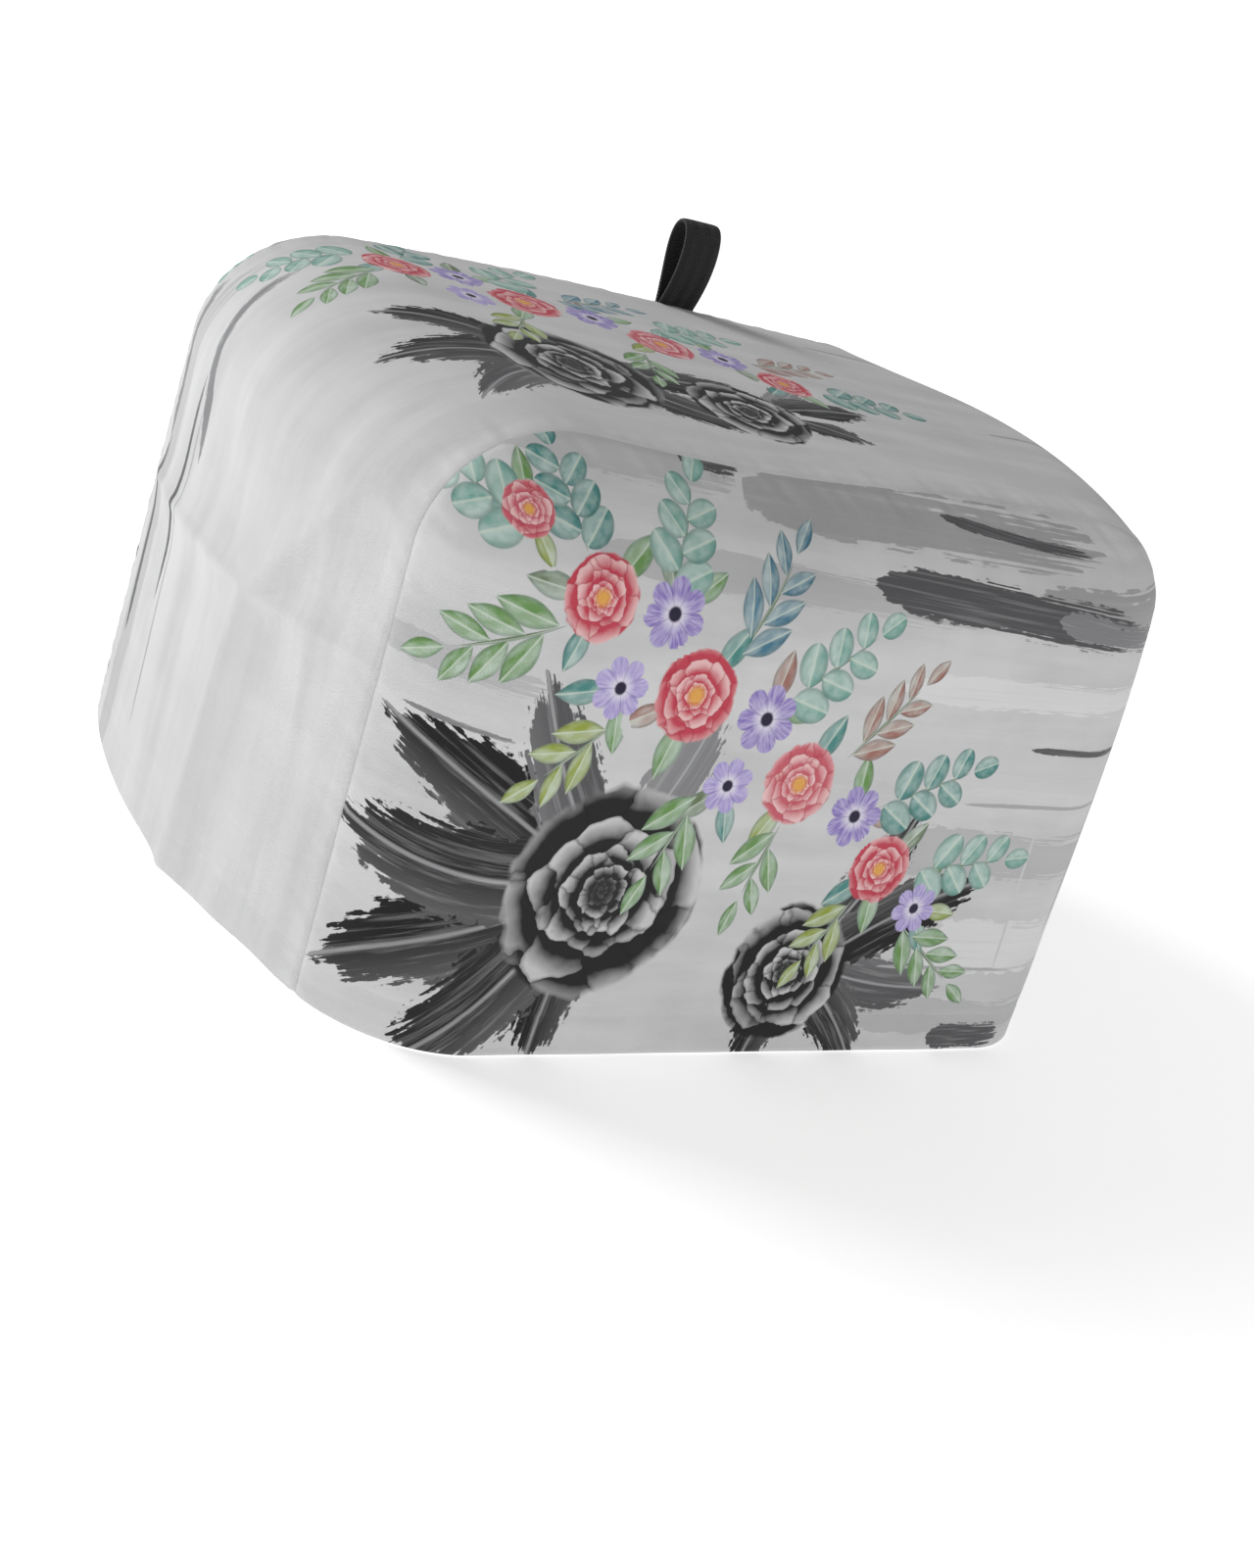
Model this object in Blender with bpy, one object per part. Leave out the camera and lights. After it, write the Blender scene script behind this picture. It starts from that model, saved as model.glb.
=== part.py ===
"""Fitted fabric cover for a two-slice toaster.

Four sewn pieces: a front panel and a back panel with rounded top corners, one gusset strip that
runs up the left side, over the top and down the right side between them, and a loop of flat
webbing sewn in the back top seam. The cover is hollow and open at the bottom.

Metres, +Z up, +X to the right of someone facing the front panel, which looks towards -Y.
The origin is under the middle of the top, where the cover is carried.
"""
import math

import bmesh
import bpy
import numpy as np

# Heights are measured up from the hem, widths from the middle plane, depths from front to back.
SEAM_HEIGHT = 0.1745
HEM_HALF_WIDTH = {"left": 0.1350, "right": 0.1390}
TOP_HALF_WIDTH = {"left": 0.1400, "right": 0.1355}
HEM_SEAM_DEPTH = 0.1745
TOP_SEAM_DEPTH = 0.1620
CORNER_WIDTH = {"left": 0.043, "right": 0.036}
CORNER_HEIGHT = {"left": 0.038, "right": 0.026}

# How far a panel's face stands out past its seam: at the hem, at the shoulder and at the top.
FRONT_RISE = {"hem": 0.0320, "shoulder": 0.0255, "top": 0.0065}
BACK_RISE = {"hem": 0.0270, "shoulder": 0.0250, "top": 0.0150}
SHOULDER_POWER = 6
BORDER_START = math.radians(18)

# How far the gusset domes out between its seams.
SIDE_DOME = 0.0140
TOP_DOME = 0.0030
CORNER_DOME = {"left": 0.0, "right": 0.0055}

# The top seams aren't straight: the back one rises in the middle and the front one dips.
BACK_CROWN = {"rise": 0.0025, "place": -0.020, "reach": 0.085}
FRONT_DIP = {"rise": -0.0032, "place": -0.035, "reach": 0.055}

# The seams' waves die away down the panels, and the folds die away at the seams.
WAVE_POWER = 6
FOLD_END_POWER = 8

CLOTH = 0.0020
HEM_EXTRA = 0.0008
HEM_HEIGHT = 0.0140
HEM_FADE = 0.0035
SEAM_GAP = 0.0003
SHARP_EDGE = math.radians(50)

WEBBING_WIDTH = 0.015
WEBBING_THICKNESS = 0.0016
LOOP_HEIGHT = 0.030
LOOP_BULGE = 0.0122
LOOP_PLACE = 0.0315

SIDE_STEPS = 10
CORNER_STEPS = 6
TOP_STEPS = 14
LOOP_STEPS = 28
ACROSS = (-1.0, -0.88, -0.74, -0.58, -0.44, -0.30, -0.16, 0.0, 0.18, 0.36, 0.54, 0.72, 0.88, 1.0)
BORDER_LEVELS = (0.0, 0.04, 0.13, 0.28, 0.46, 0.66)

# Soft creases in the gusset's sides: each is a straight ridge, or a trough if its rise is negative,
# from one height and share of the way across to another, with soft edges of a given reach.
FOLDS = (
    # side, height 1, across 1, height 2, across 2, rise, reach
    ("left", 0.092, 0.95, 0.095, -0.30, 0.0014, 0.008),
    ("left", 0.095, -0.30, 0.100, -0.98, 0.0014, 0.008),
    ("left", 0.095, -0.30, 0.000, -0.22, 0.0022, 0.012),
    ("left", 0.095, -0.30, 0.160, -0.86, 0.0020, 0.009),
    ("left", 0.060, -0.66, 0.000, -0.74, -0.0016, 0.014),
    ("left", 0.125, -0.88, 0.150, -0.97, -0.0024, 0.008),
    ("left", 0.120, 0.10, 0.150, 0.30, -0.0014, 0.018),
    ("right", 0.088, -0.95, 0.092, 0.30, 0.0012, 0.009),
    ("right", 0.092, 0.30, 0.000, 0.20, 0.0018, 0.013),
    ("right", 0.092, 0.30, 0.150, 0.80, 0.0014, 0.011),
)

TURN = np.linspace(0.0, math.pi / 2, CORNER_STEPS + 1)


def side_x(side, height):
    """Distance of the sharp side line from the middle plane at a height."""
    low = HEM_HALF_WIDTH[side]
    return low + (TOP_HALF_WIDTH[side] - low) * height / SEAM_HEIGHT


def seam_half_depth(height):
    """Half the distance between the two seams at a height."""
    return 0.5 * (HEM_SEAM_DEPTH + (TOP_SEAM_DEPTH - HEM_SEAM_DEPTH) * height / SEAM_HEIGHT)


def corner_height(x):
    """Height of the rounded border under the top edge, which differs from left to right."""
    share = np.clip((x + TOP_HALF_WIDTH["left"]) / (TOP_HALF_WIDTH["left"] + TOP_HALF_WIDTH["right"]), 0, 1)
    return CORNER_HEIGHT["left"] + (CORNER_HEIGHT["right"] - CORNER_HEIGHT["left"]) * share


def half_ring(side, level):
    """Left or right half of a ring of the panel's border, from the hem to the end of its corner."""
    sign = -1.0 if side == "left" else 1.0
    tall = CORNER_HEIGHT[side]
    wide = CORNER_WIDTH[side]
    rows = []
    for step in range(SIDE_STEPS):
        height = (SEAM_HEIGHT - tall) * step / SIDE_STEPS
        rows.append((sign * (side_x(side, height) - wide * level), height, sign, 0.0))
    for angle in TURN:
        inward = wide * (1 - (1 - level) * math.cos(angle))
        height = SEAM_HEIGHT - tall * (1 - (1 - level) * math.sin(angle))
        direction = np.array((math.cos(angle) / wide, math.sin(angle) / tall))
        direction /= np.linalg.norm(direction)
        rows.append((sign * (side_x(side, height) - inward), height, sign * direction[0], direction[1]))
    return np.array(rows)


def ring(level):
    """x, height and outward direction of every station of a border ring, left hem to right hem."""
    left = half_ring("left", level)
    right = half_ring("right", level)[::-1]
    share = np.linspace(0.0, 1.0, TOP_STEPS + 1)[1:-1, None]
    return np.vstack([left, left[-1] + (right[0] - left[-1]) * share, right])


def border(x, height):
    """0 at the seam, rising to 1 where the panel's flat field begins."""
    side_share = np.zeros_like(x)
    for side, sign in (("left", -1.0), ("right", 1.0)):
        inward = side_x(side, height) - sign * x
        side_share = np.maximum(side_share, 1 - inward / CORNER_WIDTH[side])
    top_share = np.maximum(0.0, 1 - (SEAM_HEIGHT - height) / corner_height(x))
    return np.clip(1 - np.hypot(np.maximum(side_share, 0.0), top_share), 0.0, 1.0)


def rounded(level):
    """Rise of the border from 0 to 1 along an arc that starts BORDER_START in from the side."""
    start = math.sin(BORDER_START)
    across = (1 - level) * math.cos(BORDER_START)
    return (np.sqrt(1 - across ** 2) - start) / (1 - start)


def panel_rise(height, rise):
    """How far a panel's flat field stands out past the seam at a height."""
    share = height / SEAM_HEIGHT
    body = rise["hem"] + (rise["shoulder"] - rise["hem"]) * share
    return body - (rise["shoulder"] - rise["top"]) * share ** SHOULDER_POWER


def seam_lift(x, height, wave):
    """How far a top seam lies above or below its level; nothing at the hem."""
    bump = np.exp(-((x - wave["place"]) / wave["reach"]) ** 2)
    return wave["rise"] * bump * (height / SEAM_HEIGHT) ** WAVE_POWER


def panel_surface(x, height, side):
    """Middle surface of a panel; side is -1 for the front and 1 for the back."""
    rise = FRONT_RISE if side < 0 else BACK_RISE
    level = border(x, height)
    out = seam_half_depth(height) + panel_rise(height, rise) * rounded(level)
    lift = seam_lift(x, height, FRONT_DIP if side < 0 else BACK_CROWN)
    return np.stack([x, side * out, height + lift], axis=-1)


def fold_lift(side, height, across):
    """A side's highest ridge and deepest trough at a height and a share of the way across."""
    ridge = np.zeros(np.broadcast(height, across).shape)
    trough = np.zeros_like(ridge)
    for where, h1, a1, h2, a2, rise, reach in FOLDS:
        if where != side:
            continue
        y, y1, y2 = (share * HEM_SEAM_DEPTH / 2 for share in (across, a1, a2))
        length = (h2 - h1) ** 2 + (y2 - y1) ** 2
        along = np.clip(((height - h1) * (h2 - h1) + (y - y1) * (y2 - y1)) / length, 0.0, 1.0)
        away = np.hypot(height - h1 - along * (h2 - h1), y - y1 - along * (y2 - y1))
        crease = rise * np.exp(-(away / reach) ** 2)
        ridge = np.maximum(ridge, crease)
        trough = np.minimum(trough, crease)
    return ridge + trough


def gusset_surface(stations, across):
    """Middle surface of the gusset; across runs from -1 at the front seam to 1 at the back."""
    x, height, out_x, out_z = stations.T[:, :, None]
    v = np.asarray(across)[None, :]
    corner = np.where(out_x < 0, CORNER_DOME["left"], CORNER_DOME["right"]) * (2 * out_x * out_z) ** 2
    dome = (SIDE_DOME * out_x ** 2 + TOP_DOME * out_z ** 2 + corner) * (1 - v ** 2)
    folds = np.where(out_x < 0, fold_lift("left", height, v), fold_lift("right", height, v))
    dome = dome + folds * out_x ** 2 * (1 - v ** FOLD_END_POWER)
    lift = seam_lift(x, height, FRONT_DIP) * ((1 - v) / 2) ** 2
    lift = lift + seam_lift(x, height, BACK_CROWN) * ((1 + v) / 2) ** 2
    return np.stack([x + out_x * dome, v * seam_half_depth(height), height + out_z * dome + lift], axis=-1)


def coons_fill(left, top, right):
    """Points inside an outline open at the bottom, from its left, top and right stations."""
    rows = np.linspace(0.0, 1.0, len(left))[:, None, None]
    across = np.linspace(0.0, 1.0, len(top))[None, :, None]
    bottom = left[0] + (right[0] - left[0]) * across[0]
    sides = left[:, None] * (1 - across) + right[:, None] * across
    ends = bottom[None] * (1 - rows) + top[None] * rows
    corners = (left[0] * (1 - across) + right[0] * across) * (1 - rows)
    corners = corners + (left[-1] * (1 - across) + right[-1] * across) * rows
    return sides + ends - corners


def grid_faces(index):
    """Four-cornered faces of a grid of vertex numbers."""
    faces = []
    for i in range(index.shape[0] - 1):
        for j in range(index.shape[1] - 1):
            faces.append((index[i, j], index[i + 1, j], index[i + 1, j + 1], index[i, j + 1]))
    return faces


def vertex_normals(points, faces):
    """Normals of a sheet's points, each the mean of its faces' normals."""
    normals = np.zeros_like(points)
    for face in faces:
        a, b, c, d = (points[k] for k in face)
        normal = np.cross(c - a, d - b)
        for k in face:
            normals[k] += normal
    return normals / np.linalg.norm(normals, axis=1)[:, None]


def cloth_solid(name, points, normals, faces, inward, outward, material):
    """A closed solid from a sheet: its inner face, extruded to its outer face."""
    mesh = bpy.data.meshes.new(name)
    bm = bmesh.new()
    number = bm.verts.layers.int.new("number")
    verts = []
    for k, point in enumerate(points - normals * inward[:, None]):
        vert = bm.verts.new(point)
        vert[number] = k
        verts.append(vert)
    for face in faces:
        bm.faces.new([verts[k] for k in face])
    grown = bmesh.ops.extrude_face_region(bm, geom=bm.faces[:])["geom"]
    outer = points + normals * outward[:, None]
    for vert in grown:
        if isinstance(vert, bmesh.types.BMVert):
            vert.co = outer[vert[number]]
    bmesh.ops.recalc_face_normals(bm, faces=bm.faces[:])
    if bm.calc_volume(signed=True) < 0:
        bmesh.ops.reverse_faces(bm, faces=bm.faces[:])
    bm.to_mesh(mesh)
    bm.free()
    mesh.shade_smooth()
    mesh.set_sharp_from_angle(angle=SHARP_EDGE)
    mesh.materials.append(material)
    solid = bpy.data.objects.new(name, mesh)
    bpy.context.collection.objects.link(solid)
    return solid


def make_material(name, colour, roughness):
    """A plain cloth finish."""
    material = bpy.data.materials.new(name)
    material.use_nodes = True
    shader = material.node_tree.nodes["Principled BSDF"]
    shader.inputs["Base Color"].default_value = (*colour, 1.0)
    shader.inputs["Roughness"].default_value = roughness
    shader.inputs["Metallic"].default_value = 0.0
    return material


def thickness_inward(heights):
    """Half the cloth, and the turned-up hem's second layer inside it."""
    fade = np.clip((heights - HEM_HEIGHT) / HEM_FADE, 0.0, 1.0)
    return CLOTH / 2 + HEM_EXTRA * (1 - fade)


def seam_frame(stations, side):
    """Place, normal and direction across the seam, shared by both pieces that it joins."""
    seam = gusset_surface(stations, [side])[:, 0]
    on_gusset = gusset_surface(stations, [side * (1 - BORDER_LEVELS[1])])[:, 0] - seam
    inner = ring(BORDER_LEVELS[1])
    on_panel = panel_surface(inner[:, 0], inner[:, 1], side) - seam
    on_gusset /= np.linalg.norm(on_gusset, axis=1)[:, None]
    on_panel /= np.linalg.norm(on_panel, axis=1)[:, None]
    across = on_panel - on_gusset
    along = np.gradient(seam, axis=0)
    along /= np.linalg.norm(along, axis=1)[:, None]
    across -= along * (across * along).sum(axis=1)[:, None]
    across /= np.linalg.norm(across, axis=1)[:, None]
    normal = np.cross(across, along)
    outward = np.stack([stations[:, 2], np.zeros(len(stations)), stations[:, 3]], axis=1)
    normal *= np.sign((normal * outward).sum(axis=1))[:, None]
    # At the hem the edge stays level, so that both pieces end on the same plane.
    for end in (0, -1):
        normal[end, 2] = 0.0
        across[end, 2] = 0.0
        normal[end] /= np.linalg.norm(normal[end])
        across[end] /= np.linalg.norm(across[end])
    return seam, normal, across


def build_gusset(stations, under_top, material):
    """The strip from the left hem over the top to the right hem."""
    grid = gusset_surface(stations, ACROSS)
    index = np.arange(grid.shape[0] * grid.shape[1]).reshape(grid.shape[:2])
    points = grid.reshape(-1, 3)
    faces = grid_faces(index)
    normals = vertex_normals(points, faces)
    if normals[index[len(stations) // 2, len(ACROSS) // 2], 2] < 0:
        normals = -normals
    for column, side in ((0, -1), (-1, 1)):
        seam, normal, direction = seam_frame(stations, side)
        points[index[:, column]] = seam - direction * SEAM_GAP / 2
        normals[index[:, column]] = normal
    return finish_piece("gusset", points, normals, faces, index[[0, -1]].ravel(), under_top, material)


def build_panel(name, side, stations, under_top, material):
    """A panel: rings of its rounded border along the seam, filled with a grid."""
    rings = [ring(level) for level in BORDER_LEVELS]
    flat = [np.stack([r[:, 0], r[:, 1]], axis=1) for r in rings]
    count = len(stations)
    inner = flat[-1]
    rise = SIDE_STEPS + CORNER_STEPS // 2
    fill = coons_fill(inner[:rise + 1], inner[rise:count - rise], inner[count - rise - 1:][::-1])
    border_index = np.arange(len(rings) * count).reshape(len(rings), count).T
    fill_index = np.full(fill.shape[:2], -1)
    last = border_index[:, -1]
    fill_index[:, 0] = last[:rise + 1]
    fill_index[-1, :] = last[rise:count - rise]
    fill_index[:, -1] = last[count - rise - 1:][::-1]
    free = fill_index < 0
    fill_index[free] = border_index.size + np.arange(free.sum())
    plane = np.vstack([np.vstack(flat), fill[free]])
    points = panel_surface(plane[:, 0], plane[:, 1], side)
    faces = grid_faces(border_index) + grid_faces(fill_index)
    normals = vertex_normals(points, faces)
    if normals[fill_index[2, 2], 1] * side < 0:
        normals = -normals
    seam, normal, direction = seam_frame(stations, side)
    points[border_index[:, 0]] = seam + direction * SEAM_GAP / 2
    normals[border_index[:, 0]] = normal
    hem = np.concatenate([border_index[[0, -1]].ravel(), fill_index[0]])
    return finish_piece(name, points, normals, faces, hem, under_top, material)


def finish_piece(name, points, normals, faces, hem, under_top, material):
    """Keeps the hem's edge level, moves the piece to the cover's frame and gives it thickness."""
    normals[hem, 2] = 0.0
    normals[hem] /= np.linalg.norm(normals[hem], axis=1)[:, None]
    inward = thickness_inward(points[:, 2])
    outward = np.full(len(points), CLOTH / 2)
    placed = points - np.array((0.0, 0.0, under_top))
    return cloth_solid(name, placed, normals, faces, inward, outward, material)


def loop_path():
    """The webbing's middle line in the y-z plane: up one leg, round the top and down the other."""
    foot = 0.5 * (WEBBING_THICKNESS + SEAM_GAP)
    swell = 0.5 * (LOOP_BULGE - WEBBING_THICKNESS) - foot
    tall = LOOP_HEIGHT - WEBBING_THICKNESS / 2
    angle = np.linspace(0.0, math.pi, LOOP_STEPS + 1)
    return np.stack([foot * np.cos(angle) + swell * np.sin(2 * angle), tall * np.sin(angle)], axis=1)


def build_loop(stations, under_top, material):
    """The loop stands on the back top seam, both its ends side by side."""
    seam = gusset_surface(stations, [1.0])[:, 0]
    seam_height = np.interp(LOOP_PLACE, seam[:, 0], seam[:, 2])
    base = np.array((LOOP_PLACE, TOP_SEAM_DEPTH / 2, seam_height + CLOTH / 2 + SEAM_GAP - under_top))
    path = loop_path()
    columns = (-WEBBING_WIDTH / 2, 0.0, WEBBING_WIDTH / 2)
    grid = np.array([[base + np.array((column, y, z)) for column in columns] for y, z in path])
    index = np.arange(grid.shape[0] * grid.shape[1]).reshape(grid.shape[:2])
    points = grid.reshape(-1, 3)
    faces = grid_faces(index)
    normals = vertex_normals(points, faces)
    ends = index[[0, -1]].ravel()
    normals[ends, 2] = 0.0
    normals[ends] /= np.linalg.norm(normals[ends], axis=1)[:, None]
    half = np.full(len(points), WEBBING_THICKNESS / 2)
    return cloth_solid("pull_loop", points, normals, faces, half, half, material)


def main():
    for old in list(bpy.data.objects):
        bpy.data.objects.remove(old, do_unlink=True)
    stations = ring(0.0)
    under_top = gusset_surface(stations, [0.0])[len(stations) // 2, 0, 2] - CLOTH / 2
    printed = make_material("printed_polyester", (0.62, 0.62, 0.63), 0.72)
    webbing = make_material("black_webbing", (0.012, 0.012, 0.013), 0.65)
    build_panel("front_panel", -1, stations, under_top, printed)
    build_panel("back_panel", 1, stations, under_top, printed)
    build_gusset(stations, under_top, printed)
    build_loop(stations, under_top, webbing)


main()
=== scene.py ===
# %% [markdown]
# # A fitted cover for a toaster
# The real thing is four pieces of cloth: two panels with rounded corners, one long gusset strip that
# runs up one side, over the top and down the other, and a loop of black webbing sewn in the back seam.
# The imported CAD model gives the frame. Each of its four solids is replaced here by a finer cloth.

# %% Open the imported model
import math

import bpy
import numpy as np
from mathutils import Matrix, Vector


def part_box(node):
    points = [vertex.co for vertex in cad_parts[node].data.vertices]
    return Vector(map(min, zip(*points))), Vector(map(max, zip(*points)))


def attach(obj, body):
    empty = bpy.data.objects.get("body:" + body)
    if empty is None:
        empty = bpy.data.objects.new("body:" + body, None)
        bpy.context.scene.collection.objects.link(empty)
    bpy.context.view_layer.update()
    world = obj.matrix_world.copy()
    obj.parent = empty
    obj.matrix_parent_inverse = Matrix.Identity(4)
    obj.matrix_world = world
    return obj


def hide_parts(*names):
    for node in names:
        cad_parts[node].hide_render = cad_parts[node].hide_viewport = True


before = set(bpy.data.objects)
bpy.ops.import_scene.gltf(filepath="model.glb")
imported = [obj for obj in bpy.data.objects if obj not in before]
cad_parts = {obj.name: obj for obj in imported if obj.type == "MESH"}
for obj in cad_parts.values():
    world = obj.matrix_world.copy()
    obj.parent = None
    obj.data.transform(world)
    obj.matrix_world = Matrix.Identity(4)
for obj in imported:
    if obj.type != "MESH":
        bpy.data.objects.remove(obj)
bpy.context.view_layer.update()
hem_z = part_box("gusset")[0].z

# %% [markdown]
# ## The pattern of the cover
# A pattern cutter describes a cover by its widths, its seam lines and how far each panel stands out.
# These are the sizes of the solids, in metres, with heights measured up from the hem, so that the fine
# cloth lies on them.

# %% Sizes
SEAM_HEIGHT = 0.1745
HEM_HALF_WIDTH = {"left": 0.1350, "right": 0.1390}
TOP_HALF_WIDTH = {"left": 0.1400, "right": 0.1355}
HEM_SEAM_DEPTH = 0.1745
TOP_SEAM_DEPTH = 0.1620
CORNER_WIDTH = {"left": 0.043, "right": 0.036}
CORNER_HEIGHT = {"left": 0.038, "right": 0.026}
FRONT_RISE = {"hem": 0.0320, "shoulder": 0.0255, "top": 0.0065}
BACK_RISE = {"hem": 0.0270, "shoulder": 0.0250, "top": 0.0150}
SHOULDER_POWER = 6
BORDER_START = math.radians(18)
SIDE_DOME = 0.0140
TOP_DOME = 0.0030
CORNER_DOME = {"left": 0.0, "right": 0.0055}
BACK_CROWN = {"rise": 0.0025, "place": -0.020, "reach": 0.085}
FRONT_DIP = {"rise": -0.0032, "place": -0.035, "reach": 0.055}
SOLID_HALF = 0.0010
CLOTH = 0.0009
HEM_FOLD = 0.0007
HEM_HEIGHT = 0.0140

# %% [markdown]
# ## The shape of a seam line
# Both panels and the gusset share the same seam: up the side, round an elliptical corner and along the
# top. A *ring* is that line moved inwards by a share of the corner's width. Many stations along it make
# the cloth fine enough for soft folds.

# %% Rings
STEPS = {"side": 140, "corner": 56, "top": 190}


def side_x(side, height):
    low = HEM_HALF_WIDTH[side]
    return low + (TOP_HALF_WIDTH[side] - low) * height / SEAM_HEIGHT


def seam_half_depth(height):
    return 0.5 * (HEM_SEAM_DEPTH + (TOP_SEAM_DEPTH - HEM_SEAM_DEPTH) * height / SEAM_HEIGHT)


def half_ring(side, level, coarser):
    sign = -1.0 if side == "left" else 1.0
    tall, wide = CORNER_HEIGHT[side], CORNER_WIDTH[side]
    steps = STEPS["side"] // coarser
    height = (SEAM_HEIGHT - tall) * np.arange(steps) / steps
    straight = np.stack([sign * (side_x(side, height) - wide * level), height,
                         np.full(steps, sign), np.zeros(steps)], axis=1)
    angle = np.linspace(0.0, math.pi / 2, STEPS["corner"] // coarser + 1)
    inward = wide * (1 - (1 - level) * np.cos(angle))
    height = SEAM_HEIGHT - tall * (1 - (1 - level) * np.sin(angle))
    out = np.stack([np.cos(angle) / wide, np.sin(angle) / tall], axis=1)
    out /= np.linalg.norm(out, axis=1)[:, None]
    corner = np.stack([sign * (side_x(side, height) - inward), height, sign * out[:, 0], out[:, 1]], axis=1)
    return np.vstack([straight, corner])


def ring(level, coarser=1):
    left = half_ring("left", level, coarser)
    right = half_ring("right", level, coarser)[::-1]
    share = np.linspace(0.0, 1.0, STEPS["top"] // coarser + 1)[1:-1, None]
    return np.vstack([left, left[-1] + (right[0] - left[-1]) * share, right])


print("stations along a seam:", len(ring(0.0)))

# %% [markdown]
# ## Where the cloth lies
# A panel is flat in its field and rounds down to the seam like the lid of a tin. The gusset domes out a
# little between its seams. Both are plain functions of a place on the pattern, so a fold is just a
# number added to them.

# %% Panel and gusset surfaces


def seam_lift(x, height, wave):
    bump = np.exp(-((x - wave["place"]) / wave["reach"]) ** 2)
    return wave["rise"] * bump * (height / SEAM_HEIGHT) ** SHOULDER_POWER


def panel_surface(x, height, side):
    rise = FRONT_RISE if side < 0 else BACK_RISE
    inward_share = np.zeros_like(x)
    for name, sign in (("left", -1.0), ("right", 1.0)):
        inward_share = np.maximum(inward_share, 1 - (side_x(name, height) - sign * x) / CORNER_WIDTH[name])
    across = np.clip((x + TOP_HALF_WIDTH["left"]) / sum(TOP_HALF_WIDTH.values()), 0, 1)
    corner = CORNER_HEIGHT["left"] + (CORNER_HEIGHT["right"] - CORNER_HEIGHT["left"]) * across
    top_share = np.maximum(0.0, 1 - (SEAM_HEIGHT - height) / corner)
    level = np.clip(1 - np.hypot(inward_share, top_share), 0.0, 1.0)
    start = math.sin(BORDER_START)
    curve = (np.sqrt(1 - ((1 - level) * math.cos(BORDER_START)) ** 2) - start) / (1 - start)
    share = height / SEAM_HEIGHT
    field = rise["hem"] + (rise["shoulder"] - rise["hem"]) * share
    field = field - (rise["shoulder"] - rise["top"]) * share ** SHOULDER_POWER
    lift = seam_lift(x, height, FRONT_DIP if side < 0 else BACK_CROWN)
    return np.stack([x, side * (seam_half_depth(height) + field * curve), height + lift], axis=-1)


# %% [markdown]
# ## Folds
# The sides carry creases from packing: one level ridge, one upright ridge below it and a slanting one
# above it. Each is a line on the strip with a rise and a soft reach. The cloth keeps the highest ridge
# and the deepest trough at each place, so that crossing folds don't pile up into a spike.

# %% The creases, in metres of height, shares of the way across, and metres
FOLDS = (
    # side, height 1, across 1, height 2, across 2, rise, reach
    ("left", 0.092, 0.95, 0.095, -0.30, 0.0014, 0.008),
    ("left", 0.095, -0.30, 0.100, -0.98, 0.0014, 0.008),
    ("left", 0.095, -0.30, 0.000, -0.22, 0.0022, 0.012),
    ("left", 0.095, -0.30, 0.160, -0.86, 0.0020, 0.009),
    ("left", 0.060, -0.66, 0.000, -0.74, -0.0016, 0.014),
    ("left", 0.125, -0.88, 0.150, -0.97, -0.0024, 0.008),
    ("left", 0.120, 0.10, 0.150, 0.30, -0.0014, 0.018),
    ("right", 0.088, -0.95, 0.092, 0.30, 0.0012, 0.009),
    ("right", 0.092, 0.30, 0.000, 0.20, 0.0018, 0.013),
    ("right", 0.092, 0.30, 0.150, 0.80, 0.0014, 0.011),
)
FINE_FOLDS = (
    ("left", 0.093, 0.93, 0.0955, -0.30, 0.00090, 0.0021),
    ("left", 0.0955, -0.30, 0.101, -0.96, 0.00090, 0.0021),
    ("left", 0.094, -0.29, 0.002, -0.20, 0.00130, 0.0036),
    ("left", 0.090, -0.50, 0.010, -0.44, -0.00080, 0.0070),
    ("left", 0.096, -0.32, 0.128, -0.64, 0.00110, 0.0030),
    ("left", 0.128, -0.64, 0.156, -0.86, 0.00090, 0.0028),
    ("left", 0.112, -0.30, 0.140, -0.52, -0.00060, 0.0060),
    ("left", 0.088, -0.69, 0.007, -0.72, 0.00045, 0.0022),
    ("left", 0.142, -0.85, 0.134, -0.98, 0.00045, 0.0022),
    ("left", 0.150, 0.35, 0.060, 0.52, -0.00060, 0.0050),
    ("left", 0.086, 0.10, 0.020, 0.30, -0.00050, 0.0060),
    ("right", 0.090, -0.93, 0.093, 0.30, 0.00055, 0.0022),
    ("right", 0.092, 0.30, 0.004, 0.19, 0.00070, 0.0030),
)
FOLD_END_POWER = 8


def fold_lift(table, side, height, across):
    ridge = np.zeros(np.broadcast(height, across).shape)
    trough = np.zeros_like(ridge)
    for where, h1, a1, h2, a2, rise, reach in table:
        if where == side:
            y, y1, y2 = (share * HEM_SEAM_DEPTH / 2 for share in (across, a1, a2))
            length = (h2 - h1) ** 2 + (y2 - y1) ** 2
            along = np.clip(((height - h1) * (h2 - h1) + (y - y1) * (y2 - y1)) / length, 0.0, 1.0)
            away = np.hypot(height - h1 - along * (h2 - h1), y - y1 - along * (y2 - y1))
            crease = rise * np.exp(-(away / reach) ** 2)
            ridge = np.maximum(ridge, crease)
            trough = np.minimum(trough, crease)
    return ridge + trough


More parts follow.
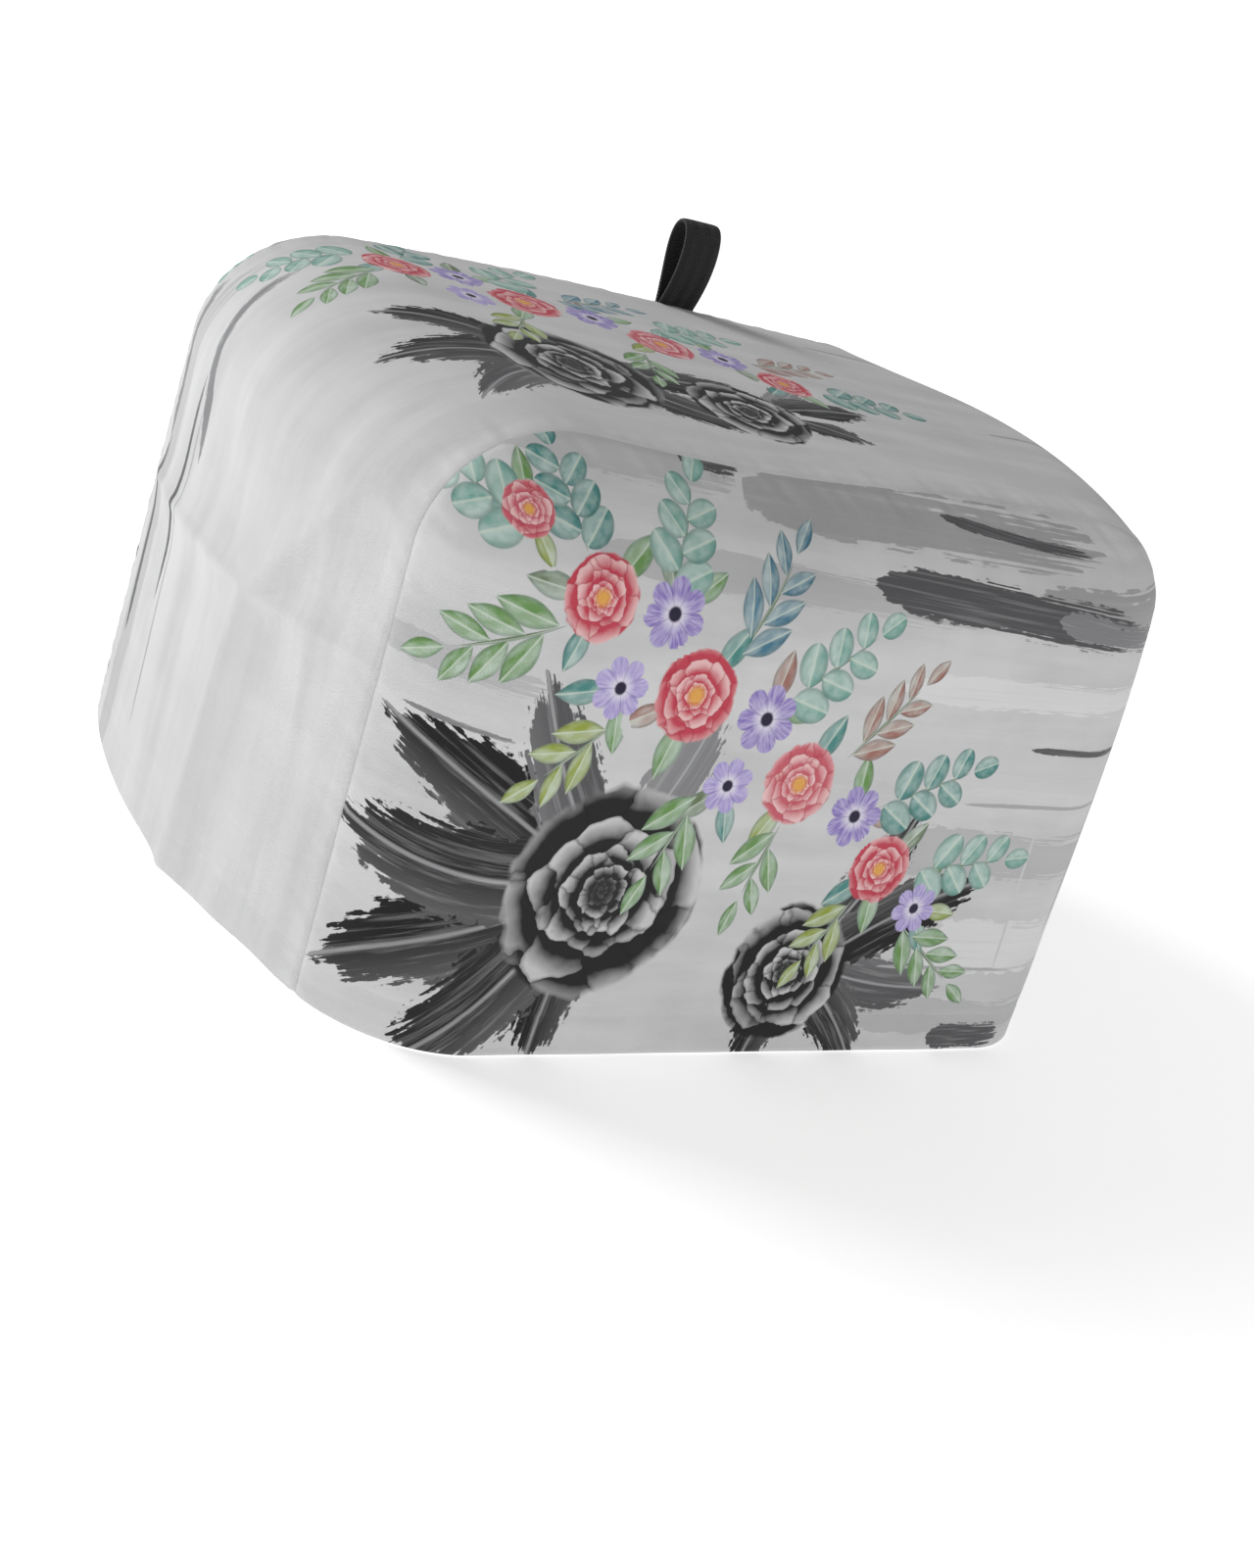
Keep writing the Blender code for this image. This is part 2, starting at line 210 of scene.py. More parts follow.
def gusset_surface(stations, across, fine=True):
    x, height, out_x, out_z = stations.T[:, :, None]
    v = np.asarray(across)[None, :]
    corner = np.where(out_x < 0, CORNER_DOME["left"], CORNER_DOME["right"]) * (2 * out_x * out_z) ** 2
    dome = (SIDE_DOME * out_x ** 2 + TOP_DOME * out_z ** 2 + corner) * (1 - v ** 2)
    for table in (FOLDS, FINE_FOLDS)[:2 if fine else 1]:
        folds = np.where(out_x < 0, fold_lift(table, "left", height, v), fold_lift(table, "right", height, v))
        dome = dome + folds * out_x ** 2 * (1 - v ** FOLD_END_POWER)
    lift = seam_lift(x, height, FRONT_DIP) * ((1 - v) / 2) ** 2
    lift = lift + seam_lift(x, height, BACK_CROWN) * ((1 + v) / 2) ** 2
    return np.stack([x + out_x * dome, v * seam_half_depth(height), height + out_z * dome + lift], axis=-1)


# %% [markdown]
# ## Grids of cloth
# A panel's grid follows its seam near the border and is woven square inside. Filling four sides with a
# grid is a *Coons patch*: blend the opposite sides and take away what was counted twice. The inside of
# the cloth is the same grid at every second station, because nobody looks at it closely.

# %% Grid helpers
BORDER_SHARE, BORDER_RINGS, BORDER_CROWDING = 0.66, 31, 1.35
STRIP_ROWS, STRIP_CROWDING = 121, math.pi / 2 * 0.72
LEVELS = BORDER_SHARE * np.linspace(0.0, 1.0, BORDER_RINGS) ** BORDER_CROWDING
ACROSS = np.sin(np.linspace(-1.0, 1.0, STRIP_ROWS) * STRIP_CROWDING) / math.sin(STRIP_CROWDING)


def grid_faces(index):
    return np.stack([index[:-1, :-1], index[1:, :-1], index[1:, 1:], index[:-1, 1:]], axis=-1).reshape(-1, 4)


def coons_fill(left, top, right):
    rows = np.linspace(0.0, 1.0, len(left))[:, None, None]
    across = np.linspace(0.0, 1.0, len(top))[None, :, None]
    bottom = left[0] + (right[0] - left[0]) * across[0]
    sides = left[:, None] * (1 - across) + right[:, None] * across
    ends = bottom[None] * (1 - rows) + top[None] * rows
    corners = (left[0] * (1 - across) + right[0] * across) * (1 - rows)
    corners = corners + (left[-1] * (1 - across) + right[-1] * across) * rows
    return sides + ends - corners


def vertex_normals(points, faces):
    a, b, c, d = (points[faces[:, k]] for k in range(4))
    face_normals = np.cross(c - a, d - b)
    normals = np.zeros_like(points)
    for k in range(4):
        np.add.at(normals, faces[:, k], face_normals)
    return normals / np.linalg.norm(normals, axis=1)[:, None]


def seam_line(side, coarser=1):
    """The seam's points, and the direction out of it, halfway between the two cloths that meet there."""
    stations = ring(0.0, coarser)
    seam = gusset_surface(stations, [side], fine=False)[:, 0]
    on_gusset = gusset_surface(stations, [side * 0.96], fine=False)[:, 0] - seam
    inner = ring(0.04, coarser)
    on_panel = panel_surface(inner[:, 0], inner[:, 1], side) - seam
    on_gusset /= np.linalg.norm(on_gusset, axis=1)[:, None]
    on_panel /= np.linalg.norm(on_panel, axis=1)[:, None]
    along = np.gradient(seam, axis=0)
    normal = np.cross(on_panel - on_gusset, along)
    outward = np.stack([stations[:, 2], np.zeros(len(stations)), stations[:, 3]], axis=1)
    normal *= np.sign((normal * outward).sum(axis=1))[:, None]
    normal[[0, -1], 2] = 0.0
    return seam, normal / np.linalg.norm(normal, axis=1)[:, None]


def panel_grid(side, coarser=1):
    """Points, faces and rim of a panel, with each point's distance from its seam."""
    rings = [ring(level, coarser)[:, :2] for level in LEVELS[::coarser]]
    count = len(rings[0])
    rise = (STEPS["side"] + STEPS["corner"] // 2) // coarser
    inner = rings[-1]
    fill = coons_fill(inner[:rise + 1], inner[rise:count - rise], inner[count - rise - 1:][::-1])
    border = np.arange(len(rings) * count).reshape(len(rings), count).T
    middle = np.full(fill.shape[:2], -1)
    middle[:, 0] = border[:rise + 1, -1]
    middle[-1, :] = border[rise:count - rise, -1]
    middle[:, -1] = border[count - rise - 1:, -1][::-1]
    free = middle < 0
    middle[free] = border.size + np.arange(free.sum())
    plane = np.vstack([np.vstack(rings), fill[free]])
    points = panel_surface(plane[:, 0], plane[:, 1], side)
    faces = np.vstack([grid_faces(border), grid_faces(middle)])
    rim = np.concatenate([border[:, 0], border[-1, 1:], middle[0, -2::-1], border[0, -2:0:-1]])
    seam, seam_normal = seam_line(side, coarser)
    away = np.full(len(points), 1.0)
    away[border.ravel()] = np.linalg.norm(points[border] - seam[:, None], axis=2).ravel()
    shared = np.zeros_like(points)
    shared[border.ravel()] = np.repeat(seam_normal, border.shape[1], axis=0)
    return {"points": points, "faces": faces, "rim": rim, "away": away, "shared": shared,
            "hem": rim[count - 1:], "plane": plane}


def gusset_grid(coarser=1):
    stations = ring(0.0, coarser)
    across = ACROSS[::coarser]
    grid = gusset_surface(stations, across)
    index = np.arange(grid.shape[0] * grid.shape[1]).reshape(grid.shape[:2])
    away = np.full(index.shape, 1.0)
    shared = np.zeros_like(grid)
    for side, near in ((-1, across < 0), (1, across >= 0)):
        seam, seam_normal = seam_line(side, coarser)
        away[:, near] = np.linalg.norm(grid[:, near] - seam[:, None], axis=2)
        shared[:, near] = seam_normal[:, None]
    rim = np.concatenate([index[:, 0], index[-1, 1:], index[-2::-1, -1], index[0, -2:0:-1]])
    hem = np.concatenate([index[0], index[-1]])
    return {"points": grid.reshape(-1, 3), "faces": grid_faces(index), "rim": rim, "away": away.ravel(),
            "shared": shared.reshape(-1, 3), "hem": hem, "shape": index.shape}


# %% [markdown]
# ## Puckers
# Thread pulls cloth together, so a seam never lies quite flat: it has a shallow groove, and small waves
# on both sides of it that die away within a centimetre. The field of the cloth has broad, very low
# waves too. Sums of sines with unlike lengths look irregular and come out the same on every run.

# %% Relief, in metres
GROOVE = 0.00070
GROOVE_REACH = 0.0011
NORMAL_REACH = 0.0026
PUCKER = 0.00032
PUCKER_REACH = 0.0065
PUCKER_LENGTHS = (0.0062, 0.0093, 0.0141, 0.0227)
PUCKER_PEAK = 0.003
HELD_FLAT = 0.0015
BROAD = 0.00045
BROAD_LENGTHS = ((0.061, 0.094, 0.037), (0.083, 0.118))
BROAD_START = 0.012
STITCH_LINE = 0.0122
STITCH_DENT = 0.00022
STITCH_REACH = 0.0009


def waves(place, lengths, turn=0.0):
    total = np.zeros_like(place)
    for k, length in enumerate(lengths):
        total += np.sin(2 * math.pi * place / length + turn + 1.7 * k * k)
    return total / len(lengths)


def relief(points, away, height):
    along = points[:, 0] * 0.83 + points[:, 2] * 1.07
    pucker = PUCKER * waves(along, PUCKER_LENGTHS, points[0, 1] * 90)
    pucker *= np.exp(-((away - PUCKER_PEAK) / PUCKER_REACH) ** 2) * (1 - np.exp(-(away / HELD_FLAT) ** 2))
    slant = points[:, 0] * 0.6 + points[:, 1] * 0.5 - points[:, 2] * 0.8
    cross = points[:, 0] * 0.5 - points[:, 1] * 0.7 + points[:, 2] * 0.9
    broad = BROAD * waves(slant, BROAD_LENGTHS[0]) * waves(cross, BROAD_LENGTHS[1], 2.0)
    broad *= 1 - np.exp(-(away / BROAD_START) ** 2)
    dent = STITCH_DENT * np.exp(-((height - STITCH_LINE) / STITCH_REACH) ** 2)
    return pucker + broad - dent


# %% [markdown]
# ## From a grid to a closed cloth
# The outer face is the grid moved out by half the solid's thickness. The inner face is the coarser
# grid, one cloth's thickness further in, and two at the hem, which is folded up inside. Five-cornered
# faces close the rim, because two fine edges meet each coarse one.

# %% Build a cloth
HEM_STEP = 0.003


def face_out(grid, centre):
    normals = vertex_normals(grid["points"], grid["faces"])
    middle = np.argmax(grid["away"] * (grid["points"][:, 2] > 0.05))
    if np.dot(normals[middle], grid["points"][middle] - centre) < 0:
        normals = -normals
        grid["faces"] = grid["faces"][:, ::-1]
    blend = np.exp(-(grid["away"] / NORMAL_REACH) ** 2)[:, None]
    normals = normals * (1 - blend) + grid["shared"] * blend
    normals[grid["hem"], 2] = 0.0
    return normals / np.linalg.norm(normals, axis=1)[:, None]


def cloth_mesh(name, fine, coarse, centre):
    out = face_out(fine, centre)
    back = face_out(coarse, centre)
    groove = GROOVE * np.exp(-(fine["away"] / GROOVE_REACH) ** 2)
    rise = SOLID_HALF - groove + relief(fine["points"], fine["away"], fine["points"][:, 2])
    outer = fine["points"] + out * rise[:, None]
    fold = np.clip((HEM_HEIGHT - coarse["points"][:, 2]) / HEM_STEP, 0.0, 1.0) * HEM_FOLD
    inner_rise = SOLID_HALF - CLOTH - GROOVE * np.exp(-(coarse["away"] / GROOVE_REACH) ** 2) - fold
    inner = coarse["points"] + back * inner_rise[:, None]
    count = len(outer)
    rim, inner_rim = fine["rim"], coarse["rim"] + count
    steps = np.arange(len(inner_rim))
    after = (steps + 1) % len(inner_rim)
    edge = np.stack([inner_rim[steps], rim[2 * steps], rim[(2 * steps + 1) % len(rim)],
                     rim[(2 * steps + 2) % len(rim)], inner_rim[after]], axis=1)
    faces = fine["faces"].tolist() + (coarse["faces"][:, ::-1] + count).tolist()
    near_start = fine["faces"][np.any(fine["faces"] == rim[0], axis=1)].tolist()
    uses = {(face[k], face[(k + 1) % 4]) for face in near_start for k in range(4)}
    faces += (edge[:, ::-1] if (int(rim[0]), int(rim[1])) in uses else edge).tolist()
    points = np.vstack([outer, inner]) + np.array((0.0, 0.0, hem_z))
    mesh = bpy.data.meshes.new(name)
    mesh.from_pydata(points.tolist(), [], faces)
    mesh.shade_smooth()
    piece = bpy.data.objects.new(name, mesh)
    bpy.context.scene.collection.objects.link(piece)
    material = np.zeros(len(faces), np.int32)
    material[len(fine["faces"]):] = 1
    mesh.attributes.new("material_index", "INT", "FACE").data.foreach_set("value", material)
    print(name, len(points), "points")
    return piece


cover_middle = np.array((0.0, 0.0, 0.09))
grids = {"front_panel": panel_grid(-1), "back_panel": panel_grid(1), "gusset": gusset_grid()}
pieces = {
    "front_panel": cloth_mesh("front_panel_cloth", grids["front_panel"], panel_grid(-1, 2), cover_middle),
    "back_panel": cloth_mesh("back_panel_cloth", grids["back_panel"], panel_grid(1, 2), cover_middle),
    "gusset": cloth_mesh("gusset_cloth", grids["gusset"], gusset_grid(2), cover_middle),
}

# %% [markdown]
# ## Flat places
# Printing happens before sewing, so every point of a cloth needs its place on the flat cut. That is the
# distance along the cloth, added up over short steps: sideways from the middle and up from the hem on
# a panel, along and across the strip on the gusset.

# %% Measure along the cloth, in millimetres
RULER_STEPS = 24


def panel_flat(grid, side):
    x, height = grid["plane"].T
    share = np.linspace(0.0, 1.0, RULER_STEPS + 1)
    sideways = panel_surface(x[:, None] * share, np.repeat(height[:, None], RULER_STEPS + 1, axis=1), side)
    upwards = panel_surface(np.repeat(x[:, None], RULER_STEPS + 1, axis=1), height[:, None] * share, side)
    s = np.linalg.norm(np.diff(sideways, axis=1), axis=2).sum(axis=1) * np.sign(x) * -side
    t = np.linalg.norm(np.diff(upwards, axis=1), axis=2).sum(axis=1)
    return 1000 * np.stack([s, t], axis=1)


def gusset_flat(grid):
    points = grid["points"].reshape(*grid["shape"], 3)
    along = np.linalg.norm(np.diff(points[:, len(ACROSS) // 2], axis=0), axis=1)
    s = np.concatenate([[0.0], np.cumsum(along)])
    s = s - np.interp(0.0, points[:, 0, 0], s)
    across = np.linalg.norm(np.diff(points, axis=1), axis=2)
    t = np.concatenate([np.zeros((len(points), 1)), np.cumsum(across, axis=1)], axis=1)
    t = t - t[:, len(ACROSS) // 2][:, None]
    return 1000 * np.stack([np.repeat(s[:, None], t.shape[1], axis=1).ravel(), t.ravel()], axis=1)


flat = {"front_panel": panel_flat(grids["front_panel"], -1), "back_panel": panel_flat(grids["back_panel"], 1),
        "gusset": gusset_flat(grids["gusset"])}
for name, places in flat.items():
    print(name, "flat size", np.ptp(places, axis=0).round(1), "mm")

# %% [markdown]
# ## One helper for node trees
# Materials are built from nodes. This helper adds one node, sets its settings and fills its inputs:
# a plain value is typed in, and a node or a socket is linked.

# %% Nodes and colours
RGBA = {"data_type": "RGBA"}


def add(tree, kind, inputs=None, **settings):
    node = tree.nodes.new(kind)
    for name, value in settings.items():
        setattr(node, name, value)
    for name, value in (inputs or {}).items():
        if isinstance(value, bpy.types.Node):
            value = next(socket for socket in value.outputs if socket.enabled)
        if isinstance(value, bpy.types.NodeSocket):
            tree.links.new(value, node.inputs[name])
        else:
            node.inputs[name].default_value = value
    return node


def colour(hex_value, alpha=1.0):
    """A printer's sRGB hex colour, as the linear numbers that light is worked out with."""
    srgb = [int(hex_value[k:k + 2], 16) / 255 for k in (1, 3, 5)]
    return (*[c / 12.92 if c <= 0.04045 else ((c + 0.055) / 1.055) ** 2.4 for c in srgb], alpha)


# %% [markdown]
# ## Printing with motifs
# The print is made of marks: brush strokes, leaves and blooms. Each mark has its own small coordinates
# on the cloth: p runs along it from -1 to 1 and q across it. They are written on the mesh as
# attributes, layer by layer, and the material draws the mark from them, so its edges stay crisp at any
# size. Marks in one layer mustn't overlap, so a point that lies between two marks is left unprinted.

# %% Marks
LAYERS = ("wash", "brush", "overbrush", "inkbloom", "stem", "tucked", "leaf_a", "leaf_b", "leaf_c", "leaf_d",
          "bloom")
BARS = ("wash", "brush", "overbrush")
ROUGH_EDGE = 1.22  # A brush mark's ragged outline reaches past its width by this share.
CLEAN_EDGE = 1.02
POINT_GAP = 1.2  # Points of the mesh are about this many mm apart.
KEPT_OUTSIDE = 3.0  # Points this far out, in marks' sizes, keep its coordinates, so that no face is skewed.
INSIDE = 0.7  # The third number of a place is 1 inside a mark and 0 outside it; above this counts as inside.


def mark(layer, s, t, long, wide, turn, tint, shape=0.0, bend=0.0):
    """A mark with its middle at s, t and its length and width in mm. shape tells kinds of mark apart."""
    return {"layer": layer, "s": s, "t": t, "long": long, "wide": wide, "turn": math.radians(turn),
            "tint": colour(tint, shape), "bend": bend}


def write_attribute(mesh, name, kind, values):
    attribute = mesh.attributes.new(name, {"vector": "FLOAT_VECTOR", "color": "FLOAT_COLOR"}[kind], "POINT")
    attribute.data.foreach_set(kind, values.ravel())


def print_marks(name, marks):
    s, t = flat[name].T
    faces = grids[name]["faces"]
    mesh = pieces[name].data
    total = len(mesh.vertices)
    for layer in LAYERS:
        place = np.zeros((total, 3))
        tints = np.zeros((total, 4))
        nearest = np.full(len(s), KEPT_OUTSIDE)
        owner = np.full(len(s), -1)
        local = np.zeros((len(s), 2))
        mine = [m for m in marks if m["layer"] == layer]
        for k, m in enumerate(mine):
            ds, dt = s - m["s"], t - m["t"]
            p = (ds * math.cos(m["turn"]) + dt * math.sin(m["turn"])) / (m["long"] / 2)
            q = (dt * math.cos(m["turn"]) - ds * math.sin(m["turn"])) / (m["wide"] / 2)
            q = q - m["bend"] * (p ** 2 - 0.4)
            spread = ROUGH_EDGE if layer in BARS else CLEAN_EDGE
            p_share = np.abs(p) / (spread + POINT_GAP / (m["long"] / 2))
            q_share = np.abs(q) / (spread + POINT_GAP / (m["wide"] / 2))
            square = layer in (*BARS, "stem")
            away = np.maximum(p_share, q_share) if square else np.hypot(p_share, q_share)
            closer = away < nearest
            nearest[closer] = away[closer]
            owner[closer] = k
            local[closer] = np.stack([p, q], axis=1)[closer]
        cover = (nearest < 1.0).astype(float)
        owners = owner[faces]
        mixed = owners.max(axis=1) != owners.min(axis=1)
        cover[faces[mixed].ravel()] = 0.0
        place[:len(s), :2] = local
        place[:len(s), 2] = cover
        for k, m in enumerate(mine):
            tints[:len(s)][owner == k] = m["tint"]
        write_attribute(mesh, f"{layer}_place", "vector", place)
        write_attribute(mesh, f"{layer}_tint", "color", tints)
    where = np.zeros((total, 3))
    where[:len(s), 0] = s
    where[:len(s), 1] = t
    where[:, 2] = [1000 * (point.co.z - hem_z) for point in mesh.vertices]
    write_attribute(mesh, "cloth_place", "vector", where)
    print(name, len(marks), "marks")


# %% [markdown]
# ## The printed design
# The cloth carries a loose ink-wash print: dry grey brush strokes for a ground, a fan of black and grey
# brush leaves, and a trail of coral peonies and violet anemones with sage leaves. It is a plain florist's
# arrangement made up for this cover. Tints are the printer's own inks.

# %% Inks
INK = {"black": "#0e0e0e", "soot": "#202021", "slate": "#59595b", "grey": "#8b8b8d", "mist": "#b4b4b6",
       "pale": "#d8d8d9", "white": "#f2f2f2", "coral": "#dd5566", "rose": "#e8808c", "violet": "#8f7cc4",
       "lilac": "#ab9cd8", "sage": "#7fb0a4", "teal": "#4f8f8a", "fern": "#6f9a58", "olive": "#9aa845",
       "twig": "#a8766c", "blue": "#4f7f96", "moss": "#6d7f5e"}
STEM_WIDTH = 1.3


def sprig(s, t, turn, length, leaves, size, tint, shape, spread=52):
    """Leaves on both sides of a stem that starts at s, t, in four layers, so that they may overlap."""
    heading = math.radians(turn)
    along = np.array((math.cos(heading), math.sin(heading)))
    middle = np.array((s, t)) + 0.5 * length * along
    made = [mark("stem", *middle, length, STEM_WIDTH, turn, INK["moss"])]
    for k in range(leaves):
        side = 1 if k % 2 else -1
        last = k == leaves - 1
        lean = heading + (0.0 if last else math.radians(side * spread))
        reach = size * (1.0 - 0.35 * k / leaves)
        run = length * (k + 0.6) / leaves + (0.2 * reach if last else 0.0)
        made.append(mark(f"leaf_{'abcd'[k % 4]}", s + run * along[0] + 0.52 * reach * math.cos(lean),
                         t + run * along[1] + 0.52 * reach * math.sin(lean), reach,
                         reach * (0.80 if shape >= 1 else 0.42), math.degrees(lean), tint, shape + 0.04 * k))
    return made


def tuck(s, t, reach, leaves):
    """Single leaves that peep out from under a flower at s, t: turn, length and ink of each."""
    made = []
    for k, (turn, length, ink) in enumerate(leaves):
        angle = math.radians(turn)
        made.append(mark("tucked", s + reach * math.cos(angle), t + reach * math.sin(angle), length,
                         0.44 * length, turn, INK[ink], 0.05 * k))
    return made


def fan(s, t, blades):
    """Brush leaves that rise from one foot: turn, length, width, ink, bend and layer of each."""
    made = []
    for turn, long, wide, ink, bend, layer in blades:
        angle = math.radians(turn)
        made.append(mark(layer, s + 0.5 * long * math.cos(angle), t + 0.5 * long * math.sin(angle),
                         long, wide, turn, INK[ink], 1.0, bend))
    return made


# %% Front panel marks
front_marks = [
    # The grey washes along the top of the front are print and also painted shade: they darken the band where
    # the panel turns over to the top seam. The heavier washes here also keep the whole front darker than the
    # gusset, a painted shade for the face that looks away from the lamp. The back panel copies them.
    mark("wash", -92, 178, 96, 15, -3, INK["mist"]),
    mark("wash", 26, 172, 150, 20, -1, INK["grey"]),
    mark("wash", 112, 152, 96, 17, 2, INK["grey"]),
    mark("wash", -22, 148, 150, 12, -2, INK["mist"]),
    mark("wash", 84, 124, 130, 10, 1, INK["white"]),
    mark("wash", -128, 112, 52, 9, -2, INK["mist"]),
    mark("wash", 70, 100, 150, 16, 0, INK["pale"]),
    mark("wash", 86, 70, 120, 18, -1, INK["mist"]),
    mark("wash", 104, 38, 90, 20, 0, INK["white"]),
    mark("wash", 92, 12, 100, 14, -1, INK["mist"]),
    mark("overbrush", -56, 181, 22, 9, -4, INK["slate"]),
    mark("overbrush", 62, 172, 66, 4, -5, INK["slate"], 0.0, 0.6),
    mark("brush", 62, 149, 120, 15, -3, INK["slate"]),
    mark("overbrush", 106, 146, 56, 9, -5, INK["grey"]),
    mark("brush", 104, 107, 48, 2.4, 0, INK["slate"]),
    mark("overbrush", 96, 5, 34, 10, 0, INK["slate"]),
    mark("overbrush", 96, 88, 74, 1.5, 1, INK["mist"]),
    mark("overbrush", 76, 30, 60, 1.4, -1, INK["mist"]),
    mark("brush", 122, 70, 62, 1.3, 86, INK["mist"]),
    mark("brush", 96, 56, 54, 1.2, 94, INK["pale"]),
    mark("overbrush", -122, 96, 36, 1.6, -2, INK["grey"]),
]
front_marks += fan(-68, 55, [
    (152, 88, 27, "black", 0.25, "brush"),
    (178, 86, 30, "soot", -0.3, "overbrush"),
    (206, 92, 30, "black", 0.3, "brush"),
    (232, 84, 30, "soot", -0.25, "overbrush"),
    (262, 60, 24, "black", 0.2, "brush"),
    (122, 72, 24, "slate", -0.3, "overbrush"),
    (66, 66, 22, "grey", 0.3, "brush"),
])
front_marks += fan(16, 30, [
    (-8, 62, 20, "slate", 0.3, "brush"),
    (-44, 50, 20, "soot", -0.3, "overbrush"),
    (28, 74, 24, "black", -0.3, "overbrush"),
    (62, 62, 22, "soot", 0.3, "brush"),
    (250, 40, 20, "black", 0.3, "overbrush"),
])
front_marks += [
    mark("inkbloom", -66, 53, 74, 74, 20, INK["soot"], 0.33),
    mark("inkbloom", 11, 28, 52, 52, -40, INK["black"], 0.71),
    mark("bloom", -92, 138, 27, 27, 20, INK["coral"], 0.15),
    mark("bloom", -54, 114, 31, 31, -30, INK["coral"], 0.62),
    mark("bloom", -8, 90, 29, 29, 65, INK["rose"], 0.37),
    mark("bloom", 34, 64, 26, 26, 105, INK["coral"], 0.52),
    mark("bloom", -116, 157, 17, 17, 65, INK["rose"], 0.81),
    mark("bloom", -67.5, 136, 23, 23, 12, INK["violet"], 1.22),
    mark("bloom", -80, 114, 20, 20, 100, INK["lilac"], 1.71),
    mark("bloom", -27, 109, 23, 23, -40, INK["violet"], 1.46),
    mark("bloom", -34, 88, 19, 19, 10, INK["lilac"], 1.58),
    mark("bloom", 17, 81, 22, 22, 33, INK["violet"], 1.93),
    mark("bloom", 54, 51, 19, 19, 80, INK["lilac"], 1.35),
]
front_marks += tuck(-116, 157, 10, [(100, 14, "fern"), (200, 14, "teal"), (300, 13, "olive")])
front_marks += tuck(-92, 138, 15, [(50, 20, "fern"), (175, 18, "moss"), (250, 16, "teal")])
front_marks += tuck(-67.5, 136, 13, [(105, 17, "moss"), (38, 17, "fern")])
front_marks += tuck(-80, 114, 12, [(190, 18, "teal"), (280, 16, "fern")])
front_marks += tuck(-54, 114, 17, [(56, 19, "teal"), (255, 20, "fern"), (205, 16, "twig")])
front_marks += tuck(-27, 109, 13, [(80, 18, "twig"), (15, 18, "fern")])
front_marks += tuck(-34, 88, 11, [(215, 17, "moss"), (285, 16, "teal")])
front_marks += tuck(-8, 90, 16, [(65, 19, "teal"), (240, 18, "olive")])
front_marks += tuck(17, 81, 12, [(95, 17, "fern"), (0, 16, "twig")])
front_marks += tuck(34, 64, 14, [(215, 18, "teal"), (275, 18, "fern"), (50, 16, "moss")])
front_marks += tuck(54, 51, 11, [(75, 15, "fern"), (-60, 16, "teal"), (-5, 15, "olive")])
front_marks += sprig(-110, 150, 156, 34, 7, 14, INK["sage"], 1.0)
front_marks += sprig(-98, 148, 112, 30, 7, 13, INK["teal"], 1.0)
front_marks += sprig(-70, 140, 78, 34, 7, 14, INK["sage"], 1.0)
front_marks += sprig(-100, 130, 205, 34, 7, 20, INK["fern"], 0.0, 36)
front_marks += sprig(-44, 124, 62, 36, 7, 19, INK["blue"], 0.0, 34)
front_marks += sprig(-78, 104, 222, 26, 5, 18, INK["olive"], 0.0, 34)
front_marks += sprig(-22, 114, 38, 38, 7, 14, INK["sage"], 1.0)
front_marks += sprig(-42, 88, 250, 30, 5, 20, INK["fern"], 0.0, 34)
front_marks += sprig(6, 98, 48, 34, 7, 17, INK["twig"], 0.0, 32)
front_marks += sprig(-10, 78, 256, 26, 5, 18, INK["fern"], 0.0, 36)
front_marks += sprig(24, 84, 22, 38, 7, 14, INK["teal"], 1.0)
front_marks += sprig(28, 54, 240, 24, 5, 17, INK["olive"], 0.0, 34)
front_marks += sprig(48, 64, 8, 38, 7, 14, INK["sage"], 1.0)
front_marks += sprig(50, 46, -36, 36, 7, 18, INK["fern"], 0.0, 34)
print_marks("front_panel", front_marks)

# %% Gusset marks
gusset_marks = [
    mark("wash", 10, 66, 180, 16, 0, INK["pale"]),
    mark("wash", 76, 34, 150, 14, 1, INK["pale"]),
    mark("wash", 96, -56, 150, 20, 0, INK["pale"]),
    mark("wash", -100, -68, 90, 12, 1, INK["pale"]),
    mark("wash", -262, -20, 120, 30, 0, INK["pale"]),
    mark("wash", -230, 66, 200, 18, -1, INK["mist"]),
    mark("wash", 250, 20, 180, 22, 0, INK["pale"]),
    mark("overbrush", -164, 40, 74, 5, 14, INK["grey"], 0.0, -0.8),
    mark("brush", -212, 42, 76, 2.6, 1, INK["slate"]),
    mark("brush", -238, 70, 70, 5, 1, INK["slate"]),
    mark("overbrush", -176, 74, 60, 6, 2, INK["grey"]),
    mark("overbrush", 104, 58, 60, 3, -1, INK["mist"]),
    mark("brush", 124, -16, 44, 2, 1, INK["mist"]),
    mark("wash", 236, -30, 120, 10, 0, INK["mist"]),
    mark("wash", -236, 36, 110, 1.4, 2, INK["grey"]),
]
gusset_marks += fan(-72, -26, [
    (150, 62, 20, "black", 0.25, "brush"),
    (182, 66, 22, "soot", -0.3, "overbrush"),
    (214, 60, 20, "slate", 0.3, "brush"),
    (-28, 64, 20, "soot", 0.3, "overbrush"),
    (4, 76, 22, "black", -0.3, "brush"),
])
gusset_marks += fan(-6, -34, [
    (-24, 38, 16, "soot", -0.3, "overbrush"),
    (14, 52, 18, "black", -0.3, "overbrush"),
    (40, 40, 15, "grey", 0.3, "brush"),
])
